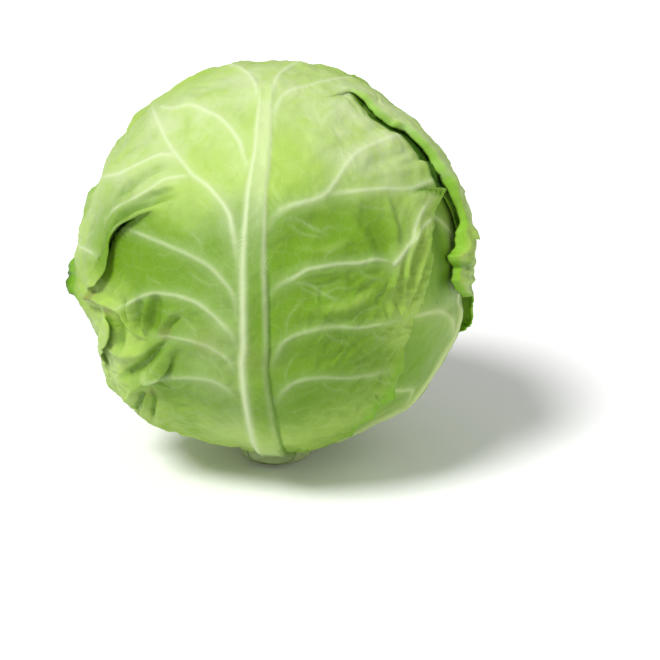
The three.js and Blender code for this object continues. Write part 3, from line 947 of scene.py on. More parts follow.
@dataclass(frozen=True)
class StemFinish:
    """The finish of the stem: moist pale pith, browned where the knife dried it."""

    name: str = "cut_pith"
    pith: tuple[float, float, float] = (0.72, 0.74, 0.50)
    rind: tuple[float, float, float] = (0.50, 0.60, 0.27)
    dried: tuple[float, float, float] = (0.36, 0.27, 0.13)

    def material(self) -> bpy.types.Material:
        """Build the material.

        Returns:
            The stem's material, on object coordinates.
        """
        ink = Ink(self.name)
        here = ink.node("ShaderNodeTexCoord").outputs["Object"]
        grain = ink.noise(here, scale=120.0, detail=5.0, roughness=0.6)
        spots = ink.noise(here, scale=420.0, detail=4.0, roughness=0.7)
        split = ink.node("ShaderNodeSeparateXYZ")
        ink.join(here, split.inputs[0])
        across = ink.node("ShaderNodeMath", operation="POWER")
        ink.join(
            ink.plus(
                ink.times(split.outputs["X"], split.outputs["X"]),
                ink.times(split.outputs["Y"], split.outputs["Y"]),
            ),
            across.inputs[0],
        )
        across.inputs[1].default_value = 0.5
        rings = ink.node("ShaderNodeMath", operation="SINE")
        ink.join(ink.plus(ink.scaled(across.outputs[0], 2600.0), ink.scaled(grain, 3.0)), rings.inputs[0])
        colour = ink.blend(ink.ramp(across.outputs[0], 0.0125, 0.0152), self.pith, self.rind)
        colour = ink.blend(ink.scaled(ink.ramp(rings.outputs[0], -0.2, 1.0), 0.16), colour, self.rind)
        colour = ink.blend(ink.scaled(ink.ramp(spots, 0.52, 0.75), 0.6), colour, self.dried)
        shader = ink.shader
        ink.join(colour, shader.inputs["Base Color"])
        ink.join(ink.between(grain, 0.5, 0.75), shader.inputs["Roughness"])
        ink.join(ink.bump(ink.plus(grain, spots), strength=0.4, distance=0.0006), shader.inputs["Normal"])
        shader.inputs["Subsurface Weight"].default_value = 0.15
        shader.inputs["Subsurface Radius"].default_value = (1.0, 0.9, 0.5)
        shader.inputs["Subsurface Scale"].default_value = 0.002
        return ink.material


class Ink:
    """A material under construction, with short names for the nodes that it is made of."""

    def __init__(self, name: str) -> None:
        """Start a material with only its main shader."""
        self.material = bpy.data.materials.new(name)
        self.material.use_nodes = True
        self.tree = self.material.node_tree
        self.shader = self.tree.nodes["Principled BSDF"]

    def node(self, kind: str, **settings: object) -> bpy.types.Node:
        """Add a node of a kind, with its settings."""
        made = self.tree.nodes.new(kind)
        for key, value in settings.items():
            setattr(made, key, value)
        return made

    def join(self, source: object, target: bpy.types.NodeSocket) -> None:
        """Link a socket to an input, or set the input to a plain value."""
        if isinstance(source, bpy.types.NodeSocket):
            self.tree.links.new(source, target)
        elif isinstance(source, tuple) and len(source) == 3:
            target.default_value = (*source, 1.0)
        else:
            target.default_value = source

    def noise(self, where: object, scale: float, detail: float, roughness: float) -> bpy.types.NodeSocket:
        """Return soft noise from 0 to 1."""
        made = self.node("ShaderNodeTexNoise")
        self.join(where, made.inputs["Vector"])
        made.inputs["Scale"].default_value = scale
        made.inputs["Detail"].default_value = detail
        made.inputs["Roughness"].default_value = roughness
        return made.outputs["Fac"]

    def net(self, where: object, scale: float, wander: float) -> bpy.types.NodeSocket:
        """Return a net of small veins, 1 on its threads.

        Args:
            where: The sheet's coordinates.
            scale: How many meshes lie along the sheet.
            wander: How far the threads wander, as a share of a mesh.

        Returns:
            The socket that gives the net.
        """
        drift = self.node("ShaderNodeTexNoise")
        self.join(where, drift.inputs["Vector"])
        drift.inputs["Scale"].default_value = scale * 0.7
        moved = self.node("ShaderNodeVectorMath", operation="MULTIPLY_ADD")
        self.join(drift.outputs["Color"], moved.inputs[0])
        moved.inputs[1].default_value = (wander / 8, wander / 8, 0.0)
        self.join(where, moved.inputs[2])
        cells = self.node("ShaderNodeTexVoronoi", feature="DISTANCE_TO_EDGE", voronoi_dimensions="2D")
        self.join(moved.outputs[0], cells.inputs["Vector"])
        cells.inputs["Scale"].default_value = scale
        return self.ramp(cells.outputs["Distance"], 0.12, 0.0)

    def ramp(self, value: object, low: float, high: float) -> bpy.types.NodeSocket:
        """Return a smooth share that is 0 at low and 1 at high."""
        made = self.node("ShaderNodeMapRange", interpolation_type="SMOOTHSTEP")
        self.join(value, made.inputs["Value"])
        if low < high:
            made.inputs["From Min"].default_value, made.inputs["From Max"].default_value = low, high
            return made.outputs["Result"]
        made.inputs["From Min"].default_value, made.inputs["From Max"].default_value = high, low
        made.inputs["To Min"].default_value, made.inputs["To Max"].default_value = 1.0, 0.0
        return made.outputs["Result"]

    def between(self, share: object, low: float, high: float) -> bpy.types.NodeSocket:
        """Return a value from low to high by a share from 0 to 1."""
        made = self.node("ShaderNodeMapRange")
        self.join(share, made.inputs["Value"])
        made.inputs["To Min"].default_value, made.inputs["To Max"].default_value = low, high
        return made.outputs["Result"]

    def math(self, operation: str, a: object, b: object) -> bpy.types.NodeSocket:
        """Return the result of a sum on two values."""
        made = self.node("ShaderNodeMath", operation=operation)
        self.join(a, made.inputs[0])
        self.join(b, made.inputs[1])
        return made.outputs[0]

    def times(self, a: object, b: object) -> bpy.types.NodeSocket:
        """Return a times b."""
        return self.math("MULTIPLY", a, b)

    def plus(self, a: object, b: object) -> bpy.types.NodeSocket:
        """Return a plus b."""
        return self.math("ADD", a, b)

    def scaled(self, a: object, factor: float) -> bpy.types.NodeSocket:
        """Return a times a plain factor."""
        return self.math("MULTIPLY", a, factor)

    def blend(self, share: object, a: object, b: object) -> bpy.types.NodeSocket:
        """Return a colour that is a at share 0 and b at share 1."""
        made = self.node("ShaderNodeMix", data_type="RGBA")
        self.join(share, made.inputs["Factor"])
        self.join(a, made.inputs[6])
        self.join(b, made.inputs[7])
        return made.outputs[2]

    def bump(self, height: object, strength: float, distance: float) -> bpy.types.NodeSocket:
        """Return a normal from a height."""
        made = self.node("ShaderNodeBump")
        self.join(height, made.inputs["Height"])
        made.inputs["Strength"].default_value = strength
        made.inputs["Distance"].default_value = distance
        return made.outputs["Normal"]


def dress(piece: bpy.types.Object, node: str) -> bpy.types.Object:
    """Attach a piece to the root, and hide the CAD node that it stands for."""
    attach(piece, ROOT)
    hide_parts(node)
    return piece


@dataclass
class Heart:
    """The dense heart, which shows only between the leaves."""

    subdivisions: int = 6

    def build(self, head: Head) -> bpy.types.Object:
        """Make the heart.

        Args:
            head: The form of the head.

        Returns:
            The heart's object.
        """
        mesh = bmesh.new()
        bmesh.ops.create_icosphere(mesh, subdivisions=self.subdivisions, radius=1.0)
        direction = np.array([v.co.normalized() for v in mesh.verts])
        ridged = np.array([noise.noise((4 * d[0], 4 * d[1], 4 * d[2])) for d in direction.tolist()])
        dented = smooth(-direction[:, 2], 0.955, 0.995)
        radius = head.radius(direction) + 0.3 * ridged - 9.0 * dented
        places = (direction * radius[:, None] + head.centre) * MM
        for vertex, place in zip(mesh.verts, places.tolist()):
            vertex.co = place
        for face in mesh.faces:
            face.smooth = True
        data = bpy.data.meshes.new("packed_heart")
        mesh.to_mesh(data)
        mesh.free()
        paint = data.color_attributes.new(PAINT, "FLOAT_COLOR", "POINT")
        vein = np.clip(np.abs(np.sin(7 * np.arctan2(direction[:, 0], direction[:, 1]))) ** 24, 0, 1) * 0.7
        rows = np.stack([vein, 0.2 + 0 * vein, 0 * vein, 0 * vein], 1)
        paint.data.foreach_set("color", rows.astype(np.float32).ravel())
        heart = bpy.data.objects.new("packed_heart", data)
        bpy.context.scene.collection.objects.link(heart)
        return dress(heart, "heart")


@dataclass
class Stem:
    """The stub of the stalk, cut square with a knife."""

    sides: int = 96
    chamfer: float = 1.1

    def build(self, head: Head) -> bpy.types.Object:
        """Make the stem.

        Args:
            head: The form of the head, which knows the stem's size.

        Returns:
            The stem's object.
        """
        mesh = bmesh.new()
        radius = head.stem_radius
        bmesh.ops.create_circle(mesh, segments=self.sides, radius=radius * MM, cap_ends=True)
        mesh.faces.ensure_lookup_table()
        face = mesh.faces[0]
        levels = [(self.chamfer, 0.0), (2.0, 0.15), (4.5, 0.25), (7.5, 0.1), (head.stem_top - 6, -0.2), (head.stem_top, -2.6)]
        for z, out in levels:
            grown = bmesh.ops.extrude_face_region(mesh, geom=[face])
            verts = [g for g in grown["geom"] if isinstance(g, bmesh.types.BMVert)]
            for vertex in verts:
                level = Vector((vertex.co.x, vertex.co.y, 0.0)).normalized()
                spread = (radius + out) * MM
                vertex.co = Vector((level.x * spread, level.y * spread, z * MM))
            mesh.faces.remove(face)
            face = next(g for g in grown["geom"] if isinstance(g, bmesh.types.BMFace))
        bottom = [v for v in mesh.verts if v.co.z < 1e-7]
        for vertex in bottom:
            vertex.co.xy = vertex.co.xy * (1 - self.chamfer / radius)
        rim = [e for e in mesh.edges if all(v.co.z < 1e-7 for v in e.verts)]
        bmesh.ops.contextual_create(mesh, geom=rim)
        bmesh.ops.recalc_face_normals(mesh, faces=mesh.faces)
        for face in mesh.faces:
            face.smooth = len(face.verts) == 4
        data = bpy.data.meshes.new("stem_stub")
        mesh.to_mesh(data)
        mesh.free()
        stem = bpy.data.objects.new("stem_stub", data)
        bpy.context.scene.collection.objects.link(stem)
        stem.data.materials.append(StemFinish().material())
        return dress(stem, "stem")


def vein(*points: Point, **settings: object) -> Vein:
    """Return a vein of the front leaf through places as seen from in front."""
    return Vein(Line(points, View.FRONT), **settings)


def crease(rise: float, half_width: float, *points: Point, **settings: object) -> Crease:
    """Return a crease of the front leaf through places as seen from in front."""
    return Crease(Line(points, View.FRONT), rise, half_width, **settings)


def plain_veins(outline: tuple[Point, ...], ends: tuple[float, ...]) -> list[Vein]:
    """Return the side veins of a plain leaf, alike on both sides.

    Args:
        outline: The leaf's outline.
        ends: The angles at which the veins on the right end, from the lowest up.

    Returns:
        The veins. Each leaves the midrib steeply and bends out towards the margin.
    """
    veins = []
    for side in (1.0, -1.0):
        for i, end in enumerate(ends):
            share = i / max(1, len(ends) - 1)
            degrees = end if side > 0 else 180.0 - end
            reach = 0.9 * float(round_the_row(outline, np.array([degrees]))[0])
            tip = (reach * math.cos(math.radians(degrees)), reach * math.sin(math.radians(degrees)))
            root = (0.0, mix(-104.0, 66.0, share))
            bend = (0.3 * tip[0], mix(root[1], tip[1], 0.66) + 6.0)
            veins.append(Vein(Line((root, bend, tip)), half_width=(1.5, 0.8), rise=(0.7, 0.35), tent=1.7, tent_width=13.0, pale=0.7))
    return veins


PLAIN_MIDRIB = Line(((0, -166), (1, -90), (0, 0), (-1, 98), (-2, 122)))


def wrapper_leaves() -> list[Leaf]:
    """Return the wrapper leaves in the order they grew, from the heart outwards."""
    crown = (
        (-90, 165), (-60, 128), (-20, 118), (20, 128), (60, 142), (90, 150), (120, 146), (160, 128),
        (200, 118), (240, 128),
    )
    right = (
        (-90, 165), (-60, 132), (-25, 126), (10, 134), (50, 142), (90, 148), (125, 138), (165, 128),
        (205, 124), (240, 134),
    )
    left = (
        (-90, 165), (-58, 134), (-20, 128), (20, 136), (55, 140), (90, 150), (130, 140), (170, 132),
        (205, 126), (240, 136),
    )
    back = (
        (-90, 166), (-60, 142), (-28, 136), (5, 142), (40, 146), (75, 138), (105, 134), (140, 142),
        (175, 146), (208, 138), (240, 144),
    )
    inner = {"midrib": PLAIN_MIDRIB, "slot": "inner_leaf"}
    return [
        Leaf("crown_wrapper", "crown_leaf", azimuth=128, roll=4, outline=crown,
             veins=plain_veins(crown, (-40, 0, 40, 74)), frill=2.5, frill_waves=9, seed=0.3, cells=160, **inner),
        Leaf("right_wrapper", "right_leaf", azimuth=78, roll=-5, outline=right,
             veins=plain_veins(right, (-44, -18, 8, 34, 62)), frill=3.0, frill_waves=11, seed=0.9,
             # Painted shade in the gap under the front leaf's lobe.
             tone_and_shade_spots=[Spot((-33, -16), 60, 0.8), Spot((-28, -54), 56, 0.7)],
             creases=[Crease(Line(((-29, 18), (-28, 0), (-27, -20), (-30, -40))), -0.2, 9.0, shade=0.9)], **inner),
        Leaf("left_wrapper", "left_leaf", azimuth=-98, roll=6, outline=left,
             veins=plain_veins(left, (-44, -18, 8, 34, 62)), frill=3.0, frill_waves=10, seed=1.7, **inner),
        Leaf("back_wrapper", "back_leaf", azimuth=172, roll=-4, outline=back, slot="outer_leaf",
             midrib=PLAIN_MIDRIB, veins=plain_veins(back, (-46, -24, -2, 20, 42, 64)), frill=6.0,
             frill_waves=9, seed=2.6, cells=240),
        front_leaf(),
    ]


def front_leaf() -> FrontLeaf:
    """Return the front leaf with its ribs and folds."""
    outline = (
        (-90, 165), (-80, 150), (-66, 120), (-50, 98), (-34, 84), (-21, 84), (-9, 122), (6, 142),
        (30, 150), (60, 158), (90, 164), (120, 160), (150, 154), (180, 148), (210, 148), (240, 150),
        (255, 158),
    )
    strong = {"half_width": (1.15, 0.8), "rise": (0.7, 0.45), "tent": 2.0, "pale": 0.9}
    soft = {"half_width": (1.1, 0.7), "rise": (0.5, 0.3), "tent": 1.6, "pale": 0.5}
    faint = {"half_width": (0.8, 0.55), "rise": (0.2, 0.1), "tent": 0.6, "pale": 0.25}
    return FrontLeaf(
        "front_wrapper",
        "front_leaf",
        "outer_leaf",
        azimuth=0,
        roll=0,
        outline=outline,
        cells=280,
        seed=4.1,
        frill=4.0,
        frill_waves=12,
        midrib_half=(12.0, 3.0),
        midrib_rise=(3.2, 1.1),
        midrib=Line(
            ((0, -166), (-6, -112), (-10.2, -53), (-9.3, -37), (-8.7, -13.5), (-8.7, 0), (-7.9, 18), (-7.1, 32),
             (-5, 47.5), (-4, 65), (-3.2, 83), (-3, 97))
        ),
        veins=[
            vein((-6.5, 70), (-7, 77), (-8.5, 81), (-12, 85), (-18, 87.5), (-25, 88.6), **strong),
            vein((-10.5, 40), (-12, 45), (-13.5, 50), (-15, 55), (-19, 61), (-24, 66), (-30, 69), (-36, 70.5),
                 (-45, 70), (-54, 71.6), **strong),
            vein((-15.5, -8), (-16.5, 3), (-18, 12), (-20, 22), (-25, 30), (-31, 36.5), (-37, 41), (-41, 46),
                 (-45, 51), (-49, 57), (-51, 62), (-53, 68), (-56, 74), **strong),
            vein((-42, 47.5), (-45, 50.5), (-52, 51.5), (-58, 49.5), (-65, 46), (-73, 42), (-80, 40), **strong),
            vein((-34, 39.5), (-37, 41), (-45, 41.5), (-52, 40), (-60, 35), (-68, 30.5), (-75, 27), (-80, 22)),
            vein((-17.5, -26), (-18, -18), (-20, -12), (-24, -7), (-29, -2), (-35, 2), (-42, 5.5), (-50, 9),
                 (-57, 12), (-63, 14.5), (-72, 17.5), half_width=(1.1, 0.9), rise=(0.5, 0.6), tent=2.0, pale=0.6),
            vein((-18, -40), (-20.5, -33), (-25, -28), (-30, -23), (-36, -18.5), (-43, -15.5), (-50, -14),
                 (-58, -13.5), (-64, -15.5), (-69, -18.5), (-75, -20.5), half_width=(1.0, 0.8), rise=(0.5, 0.7),
                 tent=2.2, pale=0.65),
            vein((-94, 9.6), (-90, 9), (-86.5, 7), (-83, 4.6), open_start=False, half_width=(0.9, 0.9), pale=0.8),
            vein((-19, -53), (-22, -46), (-26, -42), (-32, -38.5), (-38, -36.5), (-45, -35), (-52, -34),
                 (-58, -34), **soft),
            vein((-19, -66), (-23, -60), (-30, -55), (-40, -54), (-50, -53.5), (-62, -53), **soft),
            vein((-1, 70), (0.5, 77), (3, 83), (8, 87), (15, 89), **strong),
            vein((-0.5, 60), (0.5, 66), (2, 71), (5, 75), (10, 77.5), (18, 79.5), (27, 81), (35, 81), (42, 79)),
            vein((22, 62), (25, 67), (30, 70), **faint),
            vein((-2.5, 16), (0, 21), (6, 25.5), (12, 27.5), (20, 30), (25, 33), (30, 40), (34, 46), (38, 50),
                 (44, 53), (52, 55), (58, 57), **strong),
            vein((21, 31), (25, 32), (30, 32.5), (40, 33), (50, 33.5), (60, 33), (66, 34.5), (71, 36.5)),
            vein((2, 19.5), (10, 20.5), (18, 17), (25, 14), **faint),
            vein((-2, -14), (3, -9.5), (10, -6), (15, -3), (20, -2), (30, -0.5), (40, 0), (47, 1.5), (54.5, 0),
                 half_width=(0.9, 0.9), rise=(0.4, 0.6), tent=1.6, pale=0.7),
            vein((54, -0.5), (58, 5), (61, 10), (62.5, 16), (65, 22), (68, 27), open_start=False, **strong),
            vein((57, 3.5), (63, 12), (66, 16), (71, 20), open_start=False),
            vein((5, -10), (15, -9.5), (24, -15), (31, -18), **faint),
            vein((-1.5, -48), (3, -38), (10, -33.5), (20, -31), (30, -30), (42, -30), (56, -26), **soft),
            vein((0, -66), (7, -57), (20, -54), (36, -54), (52, -50), **soft),
        ],
        folds=[
            Fold(Line(((-88, -13), (-83.4, -8.4), (-80.2, -5.2), (-77.8, -0.6), (-76.8, 5), (-75.8, 10.5),
                       (-73.8, 15.5), (-69.6, 20.2), (-63, 22.8), (-55, 25.4), (-46, 27)), View.FRONT),
                 lap=5.8, lift=4.6, half_width=6.8,
                 fade=5.5, grown=(0.28, 0.62), shade=0.9),
            Fold(Line(((-77, -50), (-79.7, -41), (-77.6, -34), (-77.4, -27.5), (-81, -21)), View.FRONT),
                 lap=3.6, lift=2.8, half_width=5.0, fade=5.5, shade=0.9),
            Fold(Line(((83, 18), (79, 25), (74, 29.5), (68, 31.5), (62, 31), (57, 28)), View.FRONT),
                 lap=1.5, lift=3.0, half_width=4.5, fade=6.0, grown=(0.02, 0.7), beside_tear=True),
            Fold(Line(((80, 30), (76, 37), (70, 41.5), (65, 44.5), (60, 44.5)), View.FRONT),
                 lap=1.4, lift=2.6, half_width=4.0, fade=6.0, grown=(0.02, 0.7), beside_tear=True),
            Fold(Line(((-66, -53), (-59, -54.5), (-53.5, -52.8), (-50.2, -48), (-48, -42), (-44, -37.5)),
                      View.FRONT), lap=2.2, lift=2.2, half_width=4.5, fade=7.0, grown=(0.4, 0.6), shade=0.7),
            Fold(Line(((80, 8.5), (82.5, 10), (85.5, 11.8), (89, 14)), View.FRONT),
                 lap=2.4, lift=2.0, half_width=3.4, fade=4.0, grown=(0.2, 0.9), shade=0.9),
        ],
        creases=[
            crease(1.6, 1.9, (-40, 31), (-52, 29), (-58, 26.6), (-65, 22.5), (-71.6, 17.6), (-75.2, 11),
                   (-78.8, 3), (-82, -5), (-88, -16)),
            crease(-3.8, 2.2, (-40, 35), (-52, 31.5), (-60, 28.5), (-67.5, 24.5), (-74.5, 18), (-79, 10), (-82, 1.5),
                   (-87, -10), shade=0.55),
            crease(1.5, 1.8, (-44, 38.5), (-56, 35.5), (-66, 30), (-76, 23), (-84, 12)),
            crease(-1.8, 2.6, (-46, 46.5), (-56, 45.5), (-66, 39.5), (-78, 31), shade=0.4),
            crease(0.9, 1.5, (-50, 44), (-58, 41), (-68, 33)),
            crease(-1.2, 3.4, (-50, 60), (-60, 58), (-70, 50), shade=0.2),
            crease(-1.6, 2.2, (-44, 36), (-54, 34.5), (-63, 31), (-72, 25), shade=0.4),
            crease(1.0, 2.6, (-46, 33), (-52, 26), (-60, 24)),
            crease(3.2, 2.0, (-92, -17), (-85.5, -15.3), (-82.4, -15.8), (-78.8, -17.6), (-75.2, -19.8), (-72, -22),
                   (-71.1, -25.7), (-69.3, -29.7), (-65.7, -33.3), (-61.7, -35.4), (-57, -36)),
            crease(3.0, 1.5, (-67.3, -14), (-67.6, -18), (-68.1, -22), (-67.8, -27.5), (-66, -34)),
            crease(3.0, 1.6, (-58, -11), (-58.8, -15), (-59.7, -19.4), (-61.2, -24.8), (-62.1, -30.2), (-62.8, -36)),
            crease(-2.6, 2.0, (-63.5, -13), (-63.9, -17.6), (-64.4, -23.9), (-64.9, -33), shade=0.6),
            crease(-2.4, 1.9, (-71, -15), (-70.7, -19.4), (-70.2, -23.9), (-68, -31), shade=0.3),
            crease(-2.4, 2.8, (-55.5, -11), (-56.2, -16), (-56.7, -22), (-58.5, -29), (-59.5, -34), shade=0.35),
            crease(-0.9, 0.9, (-43, -23), (-46, -26), (-49.1, -28.4), (-50.9, -32), (-52.5, -38), shade=0.5),
            crease(1.8, 2.2, (-44, -20), (-50, -24), (-54, -29), (-56, -35)),
            crease(-3.0, 2.6, (-75.5, -22), (-74.3, -27.5), (-73.8, -34.7), (-75, -40), shade=0.5),
            crease(2.4, 3.0, (-80, -38), (-76, -40.5), (-69.8, -42.5), (-62.6, -41.5), (-56.3, -37.4), (-50, -34)),
            crease(-2.6, 2.5, (-48, -33), (-51.8, -36.9), (-56.2, -41), (-61.6, -46.4), (-67, -50), (-73, -52),
                   shade=0.55),
            crease(1.6, 2.8, (-46, -35), (-50, -40), (-54, -45), (-58, -51), (-60, -56)),
            crease(2.8, 2.0, (-70, -62), (-66.2, -59.9), (-62.6, -55.6), (-56.3, -54), (-50, -53)),
            crease(-2.4, 1.3, (-60.5, -57), (-61.4, -60), (-63, -65.3), (-64, -70), sharp=True, shade=0.9),
            crease(-2.2, 1.2, (-58.6, -56.5), (-58, -60), (-56.7, -66), (-56.5, -70), sharp=True, shade=0.7),
            crease(1.6, 1.4, (-60, -58), (-60, -64), (-60, -70)),
            crease(1.4, 1.8, (-91, 8), (-90.4, -2), (-89, -11), (-86, -17)),
            crease(1.6, 1.4, (-89, -12), (-86, -14.5), (-83, -14)),
            crease(-1.6, 1.0, (-88, -19), (-84, -21), (-80, -24), sharp=True),
            crease(-2.6, 3.8, (39, 31), (44, 22), (49, 12), (54, 0), shade=0.35),
            crease(-1.2, 1.3, (61, 44.3), (65.2, 44.4), (68.2, 42.4), (71.2, 39.4), (75, 34), (79, 26), shade=1.3,
                   beside_tear=True),
            crease(-1.2, 1.3, (59.5, 28.6), (63.2, 31.2), (67.2, 30.9), (72.2, 27.9), (76.2, 24.4), (82, 14), shade=1.3,
                   beside_tear=True),
            crease(1.4, 3.0, (33, 27), (40, 14), (48, 0)),
            crease(1.6, 2.2, (51, 32), (53.5, 20), (56, 6)),
            crease(-1.4, 7.0, (14, 20), (28, 24), (44, 26)),
            crease(-1.4, 7.0, (12, -14), (26, -10), (44, -8), shade=0.25),
            crease(1.0, 3.0, (8, -20), (22, -22), (36, -19), (48, -12), shade=-0.3),
            crease(-1.0, 3.6, (6, -27), (20, -29), (36, -26), (52, -16), shade=0.25),
            crease(0.9, 3.0, (6, 9), (18, 6), (30, 8), (40, 14), shade=-0.3),
            crease(-1.2, 3.0, (56, -4), (58, -14), (56, -26)),
            crease(1.7, 1.5, (66, 22), (62.5, 10), (59.5, -2), (59, -14), (61, -26)),
            crease(-1.7, 1.4, (68, 18), (64.5, 6), (61.5, -5), (61, -17)),
            crease(1.6, 1.4, (70, 13), (66.5, 1), (63.5, -9), (62, -20)),
            crease(-1.6, 1.4, (70, 6), (67, -4), (64, -14), (60, -24)),
            crease(1.3, 1.5, (57, 1), (55, -8), (55.5, -18)),
            crease(-1.3, 1.6, (59.5, 5), (57, -5), (56.5, -16), (58, -26)),
            crease(-1.0, 2.6, (38, 58), (46, 60), (55, 62)),
            crease(1.0, 2.8, (14, 60), (24, 56), (34, 58)),
            crease(-1.0, 3.0, (40, 44), (52, 47), (62, 50)),
            crease(0.9, 2.4, (40, 38), (52, 41), (62, 40)),
            crease(-1.8, 1.8, (76, 1), (80, -1.5), (84, -3), (89, -2), shade=0.5),
            crease(1.4, 1.8, (75, -6), (80, -8), (86, -7)),
            crease(1.4, 1.6, (80, 27), (83, 30), (85, 36)),
            crease(1.2, 1.8, (58, 66), (66, 60), (74, 52), (80, 42)),
            crease(-1.2, 1.8, (60, 69), (69, 61), (77, 52), (83, 40)),
            Crease(Line(((-145, 14), (-148, 0), (-149, -14), (-144, -34))), 4.8, 5.5, shade=1.5),
            crease(0.9, 3.5, (-36, 70), (-38, 64), (-44, 58)),
            crease(-0.9, 3.0, (-26, 58), (-34, 56), (-40, 60)),
        ],
        bulges=[Spot((-94, -92), 56, 6.0), Spot((-84, 92), 60, 2.0), Spot((-120, -10), 60, 2.6), Spot(from_front(-30, 12), 34, 1.2)],
        # The wax coat; the large spots near the top add a painted sheen.
        bloom_and_sheen_spots=[
            Spot(from_front(-26, 2), 34, 0.12),
            Spot(from_front(-24, 34), 30, 0.22),
            Spot(from_front(-34, -44), 34, 0.1),
            Spot(from_front(44, 62), 56, 1.0),
            Spot(from_front(-62, 56), 54, 0.75),
            Spot(from_front(-20, 74), 46, 0.5),
            Spot(from_front(0, 87), 50, 0.5),
            Spot((-124, 30), 46, 0.5),
            Spot((-112, -58), 40, 0.4),
            Spot((124, 60), 50, 0.8),
            Spot((132, 20), 30, 0.8),
        ],
        # Painted light and shade mixed with the leaf's own uneven green: spots below 0 lighten the top, spots above 0
        # darken lower down.
        tone_and_shade_spots=[
            Spot(from_front(26, 6), 52, 0.4),
            Spot(from_front(20, -32), 66, 0.5),
            Spot(from_front(60, 6), 34, 0.1),
            Spot(from_front(-34, 60), 60, -0.3),
            Spot(from_front(44, 66), 52, -0.4),
            Spot(from_front(0, 86), 50, -0.2),
            Spot(from_front(-62, 4), 30, 0.4),
            Spot(from_front(-24, -12), 46, 0.6),
            Spot(from_front(-24, -46), 60, 0.8),
            Spot(from_front(-80, 18), 40, 0.5),
            Spot(from_front(-62, -24), 26, 0.2),
        ],
        stains=[
            Spot(from_front(-85, -15), 8, 0.55),
            Spot(from_front(-79, -21), 5, 0.5),
            Spot(from_front(-52, -32.5), 6, 0.35),
            Spot(from_front(-32, -37), 11, 0.22),
            Spot(from_front(-9, -46), 13, 0.16),
            Spot(from_front(-58, -60), 5, 0.4),
        ],
    )


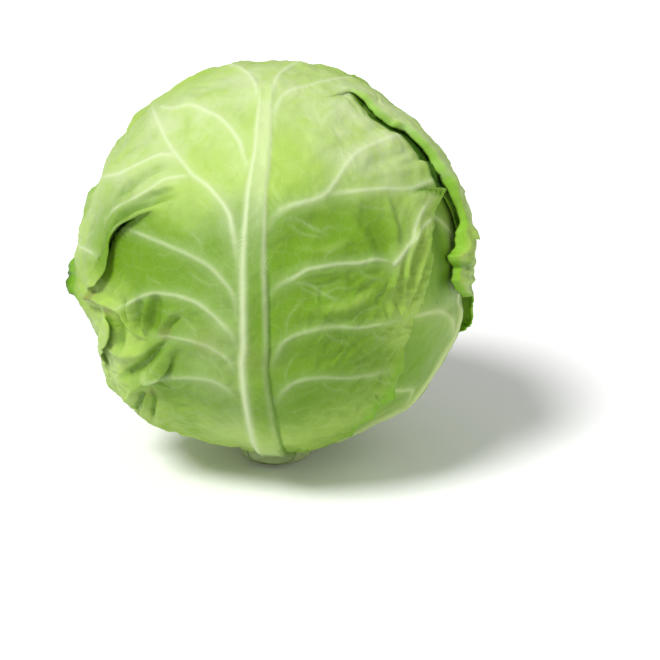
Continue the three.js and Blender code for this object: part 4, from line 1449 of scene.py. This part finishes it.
@dataclass
class Studio:
    """A pale floor, soft lights and the camera."""

    elevation: float = 18.0
    lens: float = 100.0
    sensor: float = 36.0
    frame_width: float = 0.297
    head_right: float = -0.02475
    head_above: float = 0.03015

    def build(self, head: Head) -> None:
        """Set the whole studio up round the head."""
        self.floor()
        self.lights(head)
        self.camera(head)
        world = bpy.data.worlds.new("studio")
        bpy.context.scene.world = world
        world.use_nodes = True
        sky = world.node_tree.nodes["Background"]
        sky.inputs["Color"].default_value = (1.0, 1.0, 1.0, 1.0)
        sky.inputs["Strength"].default_value = 0.42
        bpy.context.scene.view_settings.view_transform = "Standard"

    def floor(self) -> None:
        """Lay a wide pale floor."""
        mesh = bmesh.new()
        bmesh.ops.create_circle(mesh, segments=96, radius=6.0, cap_ends=True)
        data = bpy.data.meshes.new("floor")
        mesh.to_mesh(data)
        mesh.free()
        floor = bpy.data.objects.new("floor", data)
        bpy.context.scene.collection.objects.link(floor)
        ink = Ink("pale_floor")
        ink.shader.inputs["Base Color"].default_value = (0.9, 0.9, 0.9, 1.0)
        ink.shader.inputs["Roughness"].default_value = 0.8
        data.materials.append(ink.material)

    def lights(self, head: Head) -> None:
        """Hang a broad key light at the upper left and a weak fill at the right."""
        middle = Vector(head.centre.tolist()) * MM
        for name, place, spread, power in (
            ("key", (-0.55, -0.55, 1.0), 20.0, 3.35),
            ("fill", (0.9, -0.5, 0.8), 60.0, 0.5),
        ):
            lamp = bpy.data.lights.new(name, "SUN")
            lamp.angle = math.radians(spread)
            lamp.energy = power
            light = bpy.data.objects.new(name, lamp)
            light.location = middle + Vector(place)
            light.rotation_euler = (middle - light.location).to_track_quat("-Z", "Y").to_euler()
            bpy.context.scene.collection.objects.link(light)

    def camera(self, head: Head) -> None:
        """Place the camera in front of the head, a little above it."""
        lens = bpy.data.cameras.new("camera")
        lens.lens = self.lens
        lens.sensor_width = self.sensor
        rise = math.radians(self.elevation)
        back = Vector((0.0, -math.cos(rise), math.sin(rise)))
        up = Vector((0.0, math.sin(rise), math.cos(rise)))
        middle = Vector(head.centre.tolist()) * MM
        distance = self.frame_width * self.lens / self.sensor
        aim = middle - Vector((1.0, 0.0, 0.0)) * self.head_right - up * self.head_above
        camera = bpy.data.objects.new("camera", lens)
        camera.location = middle + back * distance
        camera.rotation_euler = (aim - camera.location).to_track_quat("-Z", "Y").to_euler()
        bpy.context.scene.collection.objects.link(camera)
        bpy.context.scene.camera = camera


OUTER_FINISH = LeafFinish(
    "outer_leaf_skin",
    deep=(0.125, 0.255, 0.008),
    light=(0.34, 0.50, 0.085),
    vein=(0.59, 0.67, 0.41),
    bloom_and_sheen=(0.50, 0.58, 0.33),
    margin=(0.16, 0.39, 0.005),
)
INNER_FINISH = LeafFinish(
    "inner_leaf_skin",
    deep=(0.14, 0.29, 0.01),
    light=(0.36, 0.53, 0.095),
    vein=(0.62, 0.71, 0.34),
    bloom_and_sheen=(0.48, 0.60, 0.28),
    margin=(0.18, 0.42, 0.006),
)
HEART_FINISH = LeafFinish(
    "heart_leaf_skin",
    deep=(0.38, 0.55, 0.13),
    light=(0.54, 0.68, 0.26),
    vein=(0.72, 0.78, 0.50),
    bloom_and_sheen=(0.58, 0.70, 0.36),
    margin=(0.40, 0.60, 0.10),
)


def main() -> None:
    """Build the head in order, from the stem to the front leaf, and the studio round it."""
    logging.basicConfig(level=logging.INFO, format="%(name)s: %(message)s")
    bpy.context.view_layer.update()
    head = Head()
    Studio().build(head)
    skins = {"outer_leaf": OUTER_FINISH.material(), "inner_leaf": INNER_FINISH.material()}
    stem = Stem().build(head)
    heart = Heart().build(head)
    heart.data.materials.append(HEART_FINISH.material())
    leaves = wrapper_leaves()
    for k, leaf in enumerate(leaves):
        leaf.under, leaf.over = leaves[:k], leaves[k + 1:]
    pieces = [stem, heart]
    for leaf in leaves:
        piece = leaf.build(head)
        piece.data.materials.append(skins[leaf.slot])
        pieces.append(piece)
    for piece in pieces:
        log.info("%s has %d vertices", piece.name, len(piece.data.vertices))
    bpy.context.view_layer.update()


if __name__ == "__main__":
    main()
